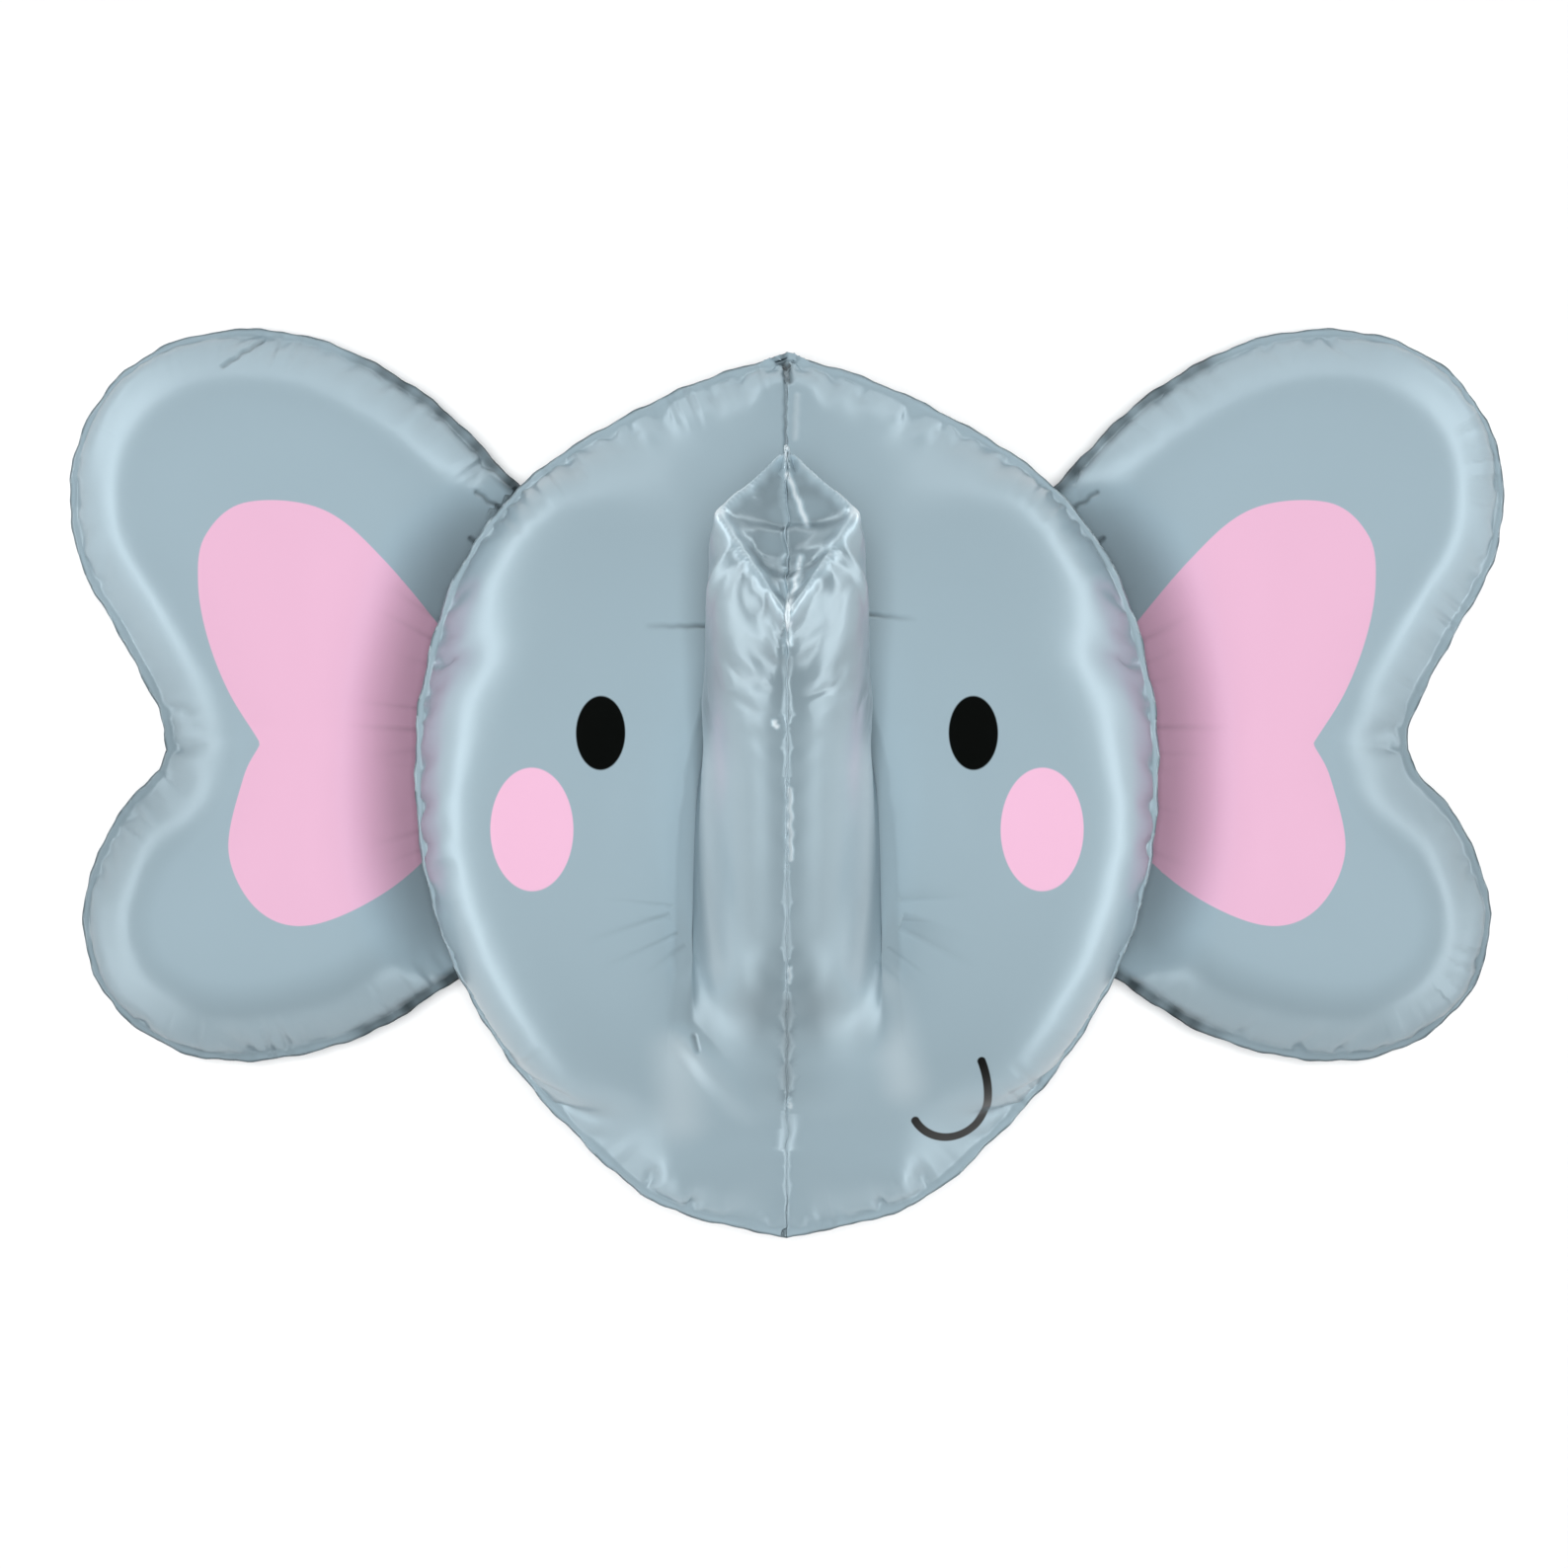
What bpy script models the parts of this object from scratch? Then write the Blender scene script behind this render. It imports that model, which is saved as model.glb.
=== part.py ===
"""Elephant head foil balloon, lying on its back.

Metres, +Z up. The balloon lies with its face up: +X is the viewer's right, +Y is towards the top
of the head, +Z is out of the face. The origin is on the small flat spot under the back of the head.

Each gas chamber is a pillow: a flat outline sealed round its edge and blown up. Its thickness
follows a stretched membrane, so a wide lobe stands high and a narrow neck stays low.
"""
import math

import bmesh
import bpy
import numpy as np
from mathutils import Vector
from mathutils.geometry import delaunay_2d_cdt

# Driving dimensions, in metres
HEAD_BACK_DEPTH = 0.126
HEAD_FACE_DEPTH = 0.110
FLAT_SPOT_CUT = 0.003
HEAD_SEAM_HEIGHT = HEAD_BACK_DEPTH - FLAT_SPOT_CUT

EAR_HALF_THICKNESS = 0.060
EAR_SEAM_HEIGHT = 0.062
EAR_ROOT_INSET = 0.88

TRUNK_HALF_WIDTH = 0.046
TRUNK_FOOT_FLARE = 0.016
TRUNK_FOOT_SHARE = 0.30
TRUNK_TAPER_START = 0.50
TRUNK_TAPER_POWER = 2.6

FACET = 0.0145
TRUNK_SECTIONS = 22
TRUNK_SECTION_SIDES = 24
CLEARANCE_SCALE = 1.004

# Right half of the head's edge seam, from the crown round to the chin, as X and Y
HEAD_EDGE = [(0.000, 0.239), (0.067, 0.215), (0.141, 0.171), (0.184, 0.116), (0.204, 0.050),
             (0.207, 0.000), (0.203, -0.045), (0.189, -0.095), (0.160, -0.148), (0.123, -0.192),
             (0.071, -0.236), (0.000, -0.255)]

# Right ear's edge seam, from its upper root round the two lobes to its lower root
EAR_EDGE = [(0.152, 0.168), (0.205, 0.220), (0.268, 0.253), (0.330, 0.257), (0.380, 0.234),
            (0.408, 0.187), (0.406, 0.130), (0.380, 0.080), (0.358, 0.036), (0.358, 0.010),
            (0.386, -0.024), (0.403, -0.075), (0.390, -0.123), (0.350, -0.154), (0.300, -0.160),
            (0.240, -0.145), (0.186, -0.112)]

# Trunk's two seams in the plane of symmetry, as Y and height over the head's edge seam. The
# first runs up the back of the trunk and the second up its front, both from inside the head to
# the corners of the flat seam that closes the tip
TRUNK_BACK = [(0.098, 0.040), (0.084, 0.085), (0.071, 0.120), (0.072, 0.145), (0.085, 0.178),
              (0.110, 0.204), (0.140, 0.221), (0.165, 0.232)]
TRUNK_FRONT = [(-0.224, 0.018), (-0.180, 0.060), (-0.125, 0.110), (-0.071, 0.161),
               (-0.018, 0.210), (0.035, 0.257), (0.080, 0.298)]


def clear_scene():
    """Remove every object of the scene."""
    for item in list(bpy.data.objects):
        bpy.data.objects.remove(item, do_unlink=True)


def smooth_run(points, step):
    """Points about `step` apart along a smooth curve through `points`, both ends included."""
    run = [Vector(p) for p in points]
    fine = []
    for i in range(len(run) - 1):
        here, there = run[i], run[i + 1]
        before = run[i - 1] if i > 0 else here * 2 - there
        after = run[i + 2] if i + 2 < len(run) else there * 2 - here
        for k in range(24):
            t = k / 24
            fine.append(0.5 * (here * 2 + (there - before) * t
                               + (before * 2 - here * 5 + there * 4 - after) * t * t
                               + (here * 3 - before - there * 3 + after) * t * t * t))
    fine.append(run[-1])
    return even_run(fine, step)


def even_run(points, step):
    """Points about `step` apart along straight stretches between `points`."""
    line = np.array([tuple(p) for p in points])
    far = np.r_[0, np.cumsum(np.linalg.norm(np.diff(line, axis=0), axis=1))]
    count = max(1, round(far[-1] / step))
    at = np.linspace(0, far[-1], count + 1)
    return np.column_stack([np.interp(at, far, line[:, 0]), np.interp(at, far, line[:, 1])])


def fill_outline(loop, step):
    """Points and triangles that fill the closed outline `loop`; the outline's points come first."""
    low, high = loop.min(0), loop.max(0)
    rows = np.arange(low[1], high[1], step * math.sqrt(3) / 2)
    grid = np.array([(x, y) for r, y in enumerate(rows)
                     for x in np.arange(low[0] + (r % 2) * step / 2, high[0], step)])
    x, y = grid[:, 0], grid[:, 1]
    inside = np.zeros(len(grid), bool)
    nearest = np.full(len(grid), np.inf)
    for (ax, ay), (bx, by) in zip(loop, np.roll(loop, -1, axis=0)):
        spans = (ay > y) != (by > y)
        lean = (bx - ax) / (by - ay) if by != ay else 0.0
        inside ^= spans & (x < lean * (y - ay) + ax)
        edge = np.array([bx - ax, by - ay])
        t = np.clip(((x - ax) * edge[0] + (y - ay) * edge[1]) / (edge @ edge), 0, 1)
        nearest = np.minimum(nearest, np.hypot(x - ax - t * edge[0], y - ay - t * edge[1]))
    grid = grid[inside & (nearest > 0.45 * step)]
    points = [Vector(p) for p in loop] + [Vector(p) for p in grid]
    rim = [(i, (i + 1) % len(loop)) for i in range(len(loop))]
    while True:
        out, _, triangles, *_ = delaunay_2d_cdt(points, rim, [], 1, step * 1e-6)
        bridges = {(min(a, b), max(a, b)) for t in triangles for a, b in zip(t, (*t[1:], t[0]))
                   if max(a, b) < len(loop) and abs(a - b) not in (1, len(loop) - 1)}
        if not bridges:
            return np.array([tuple(p) for p in out]), [tuple(t) for t in triangles]
        points += [(points[a] + points[b]) / 2 for a, b in sorted(bridges)]


def membrane(points, triangles, rim_count):
    """Relative height, 0 to 1, of a blown-up sheet that is held along its rim."""
    count = len(points)
    stiffness = np.zeros((count, count))
    load = np.zeros(count)
    for a, b, c in triangles:
        pa, pb, pc = points[a], points[b], points[c]
        area = 0.5 * ((pb[0] - pa[0]) * (pc[1] - pa[1]) - (pb[1] - pa[1]) * (pc[0] - pa[0]))
        sides = {a: pc - pb, b: pa - pc, c: pb - pa}
        for i, side_i in sides.items():
            load[i] += abs(area) / 3
            for j, side_j in sides.items():
                stiffness[i, j] += side_i @ side_j / (4 * abs(area))
    free = np.arange(rim_count, count)
    sag = np.zeros(count)
    sag[free] = np.linalg.solve(stiffness[np.ix_(free, free)], load[free])
    return np.sqrt(np.maximum(sag, 0) / sag.max())


def finish_mesh(name, shape):
    """Object that holds the closed form `shape`, with its faces pointing out."""
    bmesh.ops.recalc_face_normals(shape, faces=shape.faces)
    mesh = bpy.data.meshes.new(name)
    shape.to_mesh(mesh)
    shape.free()
    piece = bpy.data.objects.new(name, mesh)
    bpy.context.scene.collection.objects.link(piece)
    return piece


def pillow(name, loop, step, place):
    """Closed pillow on the outline `loop`. `place` turns a point of the flat sheet and its rise,
    from -1 on the lower sheet to 1 on the upper, into a place in the model."""
    points, triangles = fill_outline(loop, step)
    rim_count = len(loop)
    height = membrane(points, triangles, rim_count)
    shape = bmesh.new()
    top = [shape.verts.new(place(p, h)) for p, h in zip(points, height)]
    low = top[:rim_count] + [shape.verts.new(place(p, -h))
                             for p, h in zip(points[rim_count:], height[rim_count:])]
    for a, b, c in triangles:
        shape.faces.new((top[a], top[b], top[c]))
        shape.faces.new((low[a], low[c], low[b]))
    return finish_mesh(name, shape)


def boolean(piece, other, operation):
    """Join `other` to the piece or cut it away, and remove `other`."""
    change = piece.modifiers.new(operation.lower(), 'BOOLEAN')
    change.operation = operation
    change.solver = 'EXACT'
    change.object = other
    graph = bpy.context.evaluated_depsgraph_get()
    mesh = bpy.data.meshes.new_from_object(piece.evaluated_get(graph))
    piece.modifiers.clear()
    piece.data = mesh
    bpy.data.objects.remove(other, do_unlink=True)


def foil(name, colour):
    """Satin printed foil."""
    material = bpy.data.materials.new(name)
    material.use_nodes = True
    shader = material.node_tree.nodes['Principled BSDF']
    shader.inputs['Base Color'].default_value = (*colour, 1.0)
    shader.inputs['Roughness'].default_value = 0.35
    shader.inputs['Metallic'].default_value = 0.25
    return material


def head_loop():
    """The head's edge seam, from the crown down the right side and up the left."""
    right = smooth_run(HEAD_EDGE, FACET)
    left = right[-2:0:-1] * (-1, 1)
    return np.vstack([right, left])


def head_pillow(name, scale=1.0):
    """The head's chamber, with `scale` above 1 for a cutter that leaves a clearance."""
    def place(p, rise):
        depth = HEAD_FACE_DEPTH if rise > 0 else HEAD_BACK_DEPTH
        return (p[0] * scale, p[1] * scale, HEAD_SEAM_HEIGHT + rise * depth * scale)
    return pillow(name, head_loop(), FACET, place)


def along(run, share):
    """Point at `share`, 0 to 1, of the length of the evenly spaced `run`."""
    at = share * (len(run) - 1)
    steps = np.arange(len(run))
    return np.array([np.interp(at, steps, run[:, 0]), np.interp(at, steps, run[:, 1])])


def trunk_tube(name):
    """The trunk, a tube between two seams whose foot reaches into the head. It flares at the
    foot and flattens into a straight seam across its tip."""
    back = smooth_run(TRUNK_BACK, 0.002)
    front = smooth_run(TRUNK_FRONT, 0.002)
    shape = bmesh.new()
    rings = []
    for k in range(TRUNK_SECTIONS):
        share = math.sin(math.pi / 2 * k / TRUNK_SECTIONS)
        behind, ahead = along(back, share), along(front, share)
        taper = max(0.0, (share - TRUNK_TAPER_START) / (1 - TRUNK_TAPER_START))
        foot = max(0.0, 1 - share / TRUNK_FOOT_SHARE)
        width = TRUNK_HALF_WIDTH + TRUNK_FOOT_FLARE * foot
        width *= math.sqrt(1 - taper ** TRUNK_TAPER_POWER)
        ring = []
        for i in range(TRUNK_SECTION_SIDES):
            turn = 2 * math.pi * i / TRUNK_SECTION_SIDES
            y, z = behind + (ahead - behind) * (1 - math.cos(turn)) / 2
            side = math.copysign(abs(math.sin(turn)) ** (1 - foot / 2), math.sin(turn))
            ring.append(shape.verts.new((width * side, y, HEAD_SEAM_HEIGHT + z)))
        rings.append(ring)
    half = TRUNK_SECTION_SIDES // 2
    seam = []
    for i in range(half + 1):
        y, z = back[-1] + (front[-1] - back[-1]) * (1 - math.cos(math.pi * i / half)) / 2
        seam.append(shape.verts.new((0.0, y, HEAD_SEAM_HEIGHT + z)))
    for lower, upper in zip(rings, rings[1:]):
        for i in range(TRUNK_SECTION_SIDES):
            j = (i + 1) % TRUNK_SECTION_SIDES
            shape.faces.new((lower[i], lower[j], upper[j], upper[i]))
    last = rings[-1]
    closing = seam + seam[-2:0:-1]
    for i in range(TRUNK_SECTION_SIDES):
        j = (i + 1) % TRUNK_SECTION_SIDES
        shape.faces.new((last[i], last[j], closing[j], closing[i]))
    shape.faces.new(rings[0][::-1])
    return finish_mesh(name, shape)


def head_and_trunk():
    """The head and the trunk are one chamber, with a small flat spot under the back."""
    head = head_pillow('head_and_trunk')
    boolean(head, trunk_tube('trunk_join'), 'UNION')
    shape = bmesh.new()
    shape.from_mesh(head.data)
    everything = list(shape.verts) + list(shape.edges) + list(shape.faces)
    cut = bmesh.ops.bisect_plane(shape, geom=everything, plane_co=(0, 0, 0), plane_no=(0, 0, -1),
                                 clear_outer=True)
    rim = [e for e in cut['geom_cut'] if isinstance(e, bmesh.types.BMEdge)]
    for spot in bmesh.ops.contextual_create(shape, geom=rim)['faces']:
        spot.normal_update()
        if spot.normal.z > 0:
            spot.normal_flip()
    shape.to_mesh(head.data)
    shape.free()
    return head


def ear(name, side):
    """One ear, a two-lobed pillow whose root is tucked under the edge of the head."""
    outer = smooth_run(EAR_EDGE, FACET)
    head = smooth_run(HEAD_EDGE, FACET / 4) * EAR_ROOT_INSET
    first = np.argmin(np.linalg.norm(head - outer[0] * EAR_ROOT_INSET, axis=1))
    last = np.argmin(np.linalg.norm(head - outer[-1] * EAR_ROOT_INSET, axis=1))
    root = even_run([outer[-1], *head[first:last + 1][::-1], outer[0]], FACET)
    loop = np.vstack([outer[:-1], root[:-1]])

    def place(p, rise):
        return (side * p[0], p[1], EAR_SEAM_HEIGHT + rise * EAR_HALF_THICKNESS)
    piece = pillow(name, loop, FACET, place)
    boolean(piece, head_pillow('ear_clearance', CLEARANCE_SCALE), 'DIFFERENCE')
    return piece


def dress(piece, material):
    """Give the piece its foil and a smooth surface that stays crisp along the seams."""
    piece.data.materials.clear()
    piece.data.materials.append(material)
    piece.data.shade_smooth()
    piece.data.set_sharp_from_angle(angle=math.radians(50))


def main():
    """Build the head with its trunk, and the two ears."""
    clear_scene()
    grey = foil('grey_blue_foil', (0.38, 0.48, 0.54))
    ear_grey = foil('ear_foil', (0.39, 0.50, 0.55))
    dress(head_and_trunk(), grey)
    for name, side in (('ear_left', -1), ('ear_right', 1)):
        dress(ear(name, side), ear_grey)


main()
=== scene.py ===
"""Elephant foil balloon: its blown-up foil, prints, studio and camera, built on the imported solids.

The balloon lies on its back with the face up. The head with its trunk is one chamber of air
and each ear is another. Every chamber is cut from flat foil panels, welded along its seams
and blown up by a cloth simulation. The seams then get their flat flanges, and the foil its
satin finish and its printed eyes, cheeks, smile and inner ears.
"""
import logging
import math
from dataclasses import dataclass
from enum import Enum
from typing import Callable, Sequence

import bmesh
import bpy
import numpy as np
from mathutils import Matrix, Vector
from mathutils.bvhtree import BVHTree
from mathutils.geometry import delaunay_2d_cdt


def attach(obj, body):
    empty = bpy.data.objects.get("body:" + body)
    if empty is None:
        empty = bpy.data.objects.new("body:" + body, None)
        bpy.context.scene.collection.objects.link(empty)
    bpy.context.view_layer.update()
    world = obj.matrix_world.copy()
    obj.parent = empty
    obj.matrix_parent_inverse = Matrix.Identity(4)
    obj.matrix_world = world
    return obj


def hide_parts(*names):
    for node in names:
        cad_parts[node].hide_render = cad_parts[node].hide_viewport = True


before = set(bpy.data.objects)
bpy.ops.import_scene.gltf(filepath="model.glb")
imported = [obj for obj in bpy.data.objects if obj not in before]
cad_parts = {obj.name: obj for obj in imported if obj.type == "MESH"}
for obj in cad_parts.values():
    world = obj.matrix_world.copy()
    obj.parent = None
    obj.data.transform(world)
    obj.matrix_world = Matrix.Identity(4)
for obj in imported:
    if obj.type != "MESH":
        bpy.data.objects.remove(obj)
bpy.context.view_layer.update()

LOG = logging.getLogger("elephant_balloon")

Point = tuple[float, float]
Colour = tuple[float, float, float]

# Cloth settings suit metres of cloth, so the foil is blown up at ten times its size.
GROW = 10.0
# How closely smooth outlines are read, in metres.
FINE = 0.002
# How far round a fold the mesh is split, in metres.
FOLD_MARGIN = 0.003
ALL_AXES = {"use_axis_x": True, "use_axis_y": True, "use_axis_z": True}
# How fast a fold wavers along its run, in radians for each metre.
WAVER = 700.0


class Side(Enum):
    """Which ear, as the photograph shows them."""

    LEFT = -1
    RIGHT = 1


def eased(share: np.ndarray) -> np.ndarray:
    """Keeps shares from 0 to 1, with a soft start and a soft end."""
    share = np.clip(share, 0, 1)
    return share * share * (3 - 2 * share)


def smooth_run(points: Sequence[Point]) -> np.ndarray:
    """Runs a smooth open curve through a few points.

    Args:
        points: the places that the curve passes through.

    Returns:
        The curve's points, about FINE apart.
    """
    given = [np.array(p, float) for p in points]
    run = []
    for i, (here, there) in enumerate(zip(given, given[1:])):
        before = given[i - 1] if i else here * 2 - there
        after = given[i + 2] if i + 2 < len(given) else there * 2 - here
        pieces = max(2, int(np.linalg.norm(there - here) / FINE))
        for t in np.arange(pieces) / pieces:
            run.append(0.5 * (2 * here + (there - before) * t
                              + (2 * before - 5 * here + 4 * there - after) * t ** 2
                              + (3 * here - before - 3 * there + after) * t ** 3))
    return np.array([*run, given[-1]])


def even_run(points: np.ndarray | Sequence[Point], step: float) -> np.ndarray:
    """Reads a line at even steps, its two ends included.

    Args:
        points: the line's points.
        step: the spacing wanted, in metres.

    Returns:
        The evenly spaced points.
    """
    line = np.array(points, float)
    reach = np.r_[0, np.cumsum(np.linalg.norm(np.diff(line, axis=0), axis=1))]
    count = max(2, round(reach[-1] / step))
    at = np.linspace(0, reach[-1], count + 1)
    return np.column_stack([np.interp(at, reach, line[:, k]) for k in range(line.shape[1])])


def distance_to_loop(places: np.ndarray, loop: np.ndarray) -> tuple[np.ndarray, np.ndarray]:
    """Measures how far places are from a closed outline.

    Args:
        places: the places measured, as rows of X and Y.
        loop: the closed outline's points.

    Returns:
        The distance, negative inside the outline, and the length along the outline of the
        nearest point.
    """
    x, y = places[:, 0], places[:, 1]
    inside = np.zeros(len(places), bool)
    near = np.full(len(places), np.inf)
    along = np.zeros(len(places))
    done = 0.0
    for a, b in zip(loop, np.roll(loop, -1, axis=0)):
        length = float(np.linalg.norm(b - a))
        if length == 0:
            continue
        if a[1] != b[1]:
            level = (a[1] > y) != (b[1] > y)
            inside ^= level & (x < (b[0] - a[0]) / (b[1] - a[1]) * (y - a[1]) + a[0])
        t = np.clip(((x - a[0]) * (b[0] - a[0]) + (y - a[1]) * (b[1] - a[1])) / length ** 2, 0, 1)
        gap = np.hypot(x - a[0] - t * (b[0] - a[0]), y - a[1] - t * (b[1] - a[1]))
        closer = gap < near
        near[closer] = gap[closer]
        along[closer] = done + t[closer] * length
        done += length
    return np.where(inside, -near, near), along


def inset_loop(loop: np.ndarray, depth: float) -> np.ndarray:
    """Moves a closed outline inwards by a seam's width.

    Args:
        loop: the outline's points, running anticlockwise.
        depth: how far each point moves in.

    Returns:
        The moved points.
    """
    way = np.roll(loop, -1, axis=0) - np.roll(loop, 1, axis=0)
    way /= np.linalg.norm(way, axis=1)[:, None]
    return loop + depth * np.column_stack([-way[:, 1], way[:, 0]])


@dataclass
class Sheet:
    """A flat foil panel: its points in its own plane and its triangles."""

    points: np.ndarray
    faces: np.ndarray

    @classmethod
    def cut(cls, loop: np.ndarray, step: float, crease: np.ndarray | None = None) -> "Sheet":
        """Cuts a panel along a closed outline and fills it with even triangles.

        An edge from rim to rim gets a point in its middle, because two panels welded all
        round would share it.

        Args:
            loop: the outline's points, about a step apart.
            step: the triangles' side, in metres.
            crease: a line that the triangles' edges follow, from rim point to rim point.

        Returns:
            The panel.
        """
        low, high = loop.min(0), loop.max(0)
        rows = np.arange(low[1], high[1], step * math.sqrt(3) / 2)
        grid = np.array([(x, y) for r, y in enumerate(rows)
                         for x in np.arange(low[0] + (r % 2) * step / 2, high[0], step)])
        grid = grid[distance_to_loop(grid, loop)[0] < -0.6 * step]
        count = len(loop)
        edges = [(i, (i + 1) % count) for i in range(count)]
        if crease is not None:
            there_and_back = np.vstack([crease, crease[-2:0:-1]])
            grid = grid[distance_to_loop(grid, there_and_back)[0] > 0.5 * step]
            ends = [int(np.argmin(np.hypot(*(loop - end).T))) for end in (crease[0], crease[-1])]
            line = [ends[0], *range(count, count + len(crease) - 2), ends[1]]
            edges += list(zip(line[:-1], line[1:]))
            grid = np.vstack([crease[1:-1], grid])
        while True:
            places = [Vector(p) for p in np.vstack([loop, grid])]
            points, _, faces, *_ = delaunay_2d_cdt(places, edges, [], 1, 1e-8)
            sides = {tuple(sorted((f[k], f[k - 1]))) for f in faces for k in range(3)}
            chords = [(a, b) for a, b in sides if b < count and b - a not in (1, count - 1)]
            if not chords:
                return cls(np.array([tuple(p) for p in points]), np.array([tuple(f) for f in faces]))
            grid = np.vstack([grid, [(loop[a] + loop[b]) / 2 for a, b in sorted(chords)]])

    def at(self, line: np.ndarray) -> list[int]:
        """Finds the panel's points that lie on a line of its outline, in the line's order."""
        return [int(np.argmin(np.hypot(*(self.points - p).T))) for p in line]


@dataclass(frozen=True)
class Stage:
    """One stage of blowing up: its frames and how stiffly the foil folds."""

    frames: int
    bending: float


@dataclass(frozen=True)
class Recipe:
    """How a chamber is blown up, from a coarse mesh to a fine one."""

    stages: tuple[Stage, ...]
    slack: float
    pressure: float = 5.0
    tension: float = 80.0
    compression: float = 1.0
    mass: float = 0.1
    damping: float = 5.0
    quality: int = 8

    def wanted(self) -> tuple[Stage, ...]:
        return self.stages


@dataclass(frozen=True)
class Fold:
    """A straight fold seen from above: a ridge, or a valley where rise is negative.

    shine is painted light: a painted highlight that lightens the foil on it, or painted shade that darkens it
    where negative, and without a rise the fold is only a patch of painted highlight or painted shade.
    fade is how much of it is lost by its end, above and below are the
    heights that it lies between, and wobble is how far it wavers.
    """

    start: Point
    end: Point
    half_width: float
    rise: float
    painted_light: float
    fade: float = 0.0
    mirrored: bool = False
    above: float = 0.0
    below: float = 1.0
    wobble: float = 0.0006

    def nearness(self, places: np.ndarray, margin: float = 0.0) -> np.ndarray:
        """Gives how near each place is to the fold, 1 on it and 0 outside its width and margin."""
        x = np.abs(places[:, 0]) if self.mirrored else places[:, 0]
        run = np.subtract(self.end, self.start)
        length = float(np.hypot(*run))
        off = np.column_stack([x, places[:, 1]]) - self.start
        share = np.clip(off @ run / length ** 2, 0, 1)
        across = off - share[:, None] * run
        phase = self.start[0] * 900
        bend = self.wobble * np.sin(share * length * WAVER + phase) * np.sin(math.pi * share)
        across += bend[:, None] * np.array([-run[1], run[0]]) / length
        near = eased(1 - np.hypot(*across.T) / (self.half_width + margin)) * (1 - self.fade * share)
        return np.where((places[:, 2] > self.above) & (places[:, 2] < self.below), near, 0)


@dataclass(frozen=True)
class Fan:
    """Fine creases that spread out from a pulled place on either side, seen from above.

    toward and spread are in degrees, near and far are distances from the centre, creases is
    how many there are to about half a turn, uneven is how much their ends vary, and shine
    is the painted light along them, painted shade where it is negative.
    """

    centre: Point
    toward: float
    spread: float
    near: float
    far: float
    creases: float
    rise: float
    painted_light: float
    uneven: float = 0.012

    def nearness(self, places: np.ndarray, margin: float = 0.0) -> np.ndarray:
        """Gives how near each place is to a crease, 1 on it and 0 outside the fan."""
        off = np.column_stack([np.abs(places[:, 0]), places[:, 1]]) - self.centre
        reach = np.hypot(*off.T)
        turn = np.arctan2(off[:, 1], off[:, 0]) - math.radians(self.toward)
        side = np.sign(places[:, 0])
        count = turn * self.creases
        wave = (np.sin(count + side) + 0.7 * np.sin(count * 1.73 + 2 * side)
                + 0.5 * np.sin(count * 0.41 + reach * 30))
        thin = np.clip(1 - np.abs(wave) / (0.7 + margin * 500), 0, 1)
        wide = math.radians(self.spread)
        inside = np.clip((wide - np.abs(turn)) / (0.4 * wide), 0, 1) * (reach > self.near)
        end = self.far + self.uneven * np.sin(count * 0.6)
        return thin * inside * np.clip((end - reach) / (self.far - self.near), 0, 1)


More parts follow.
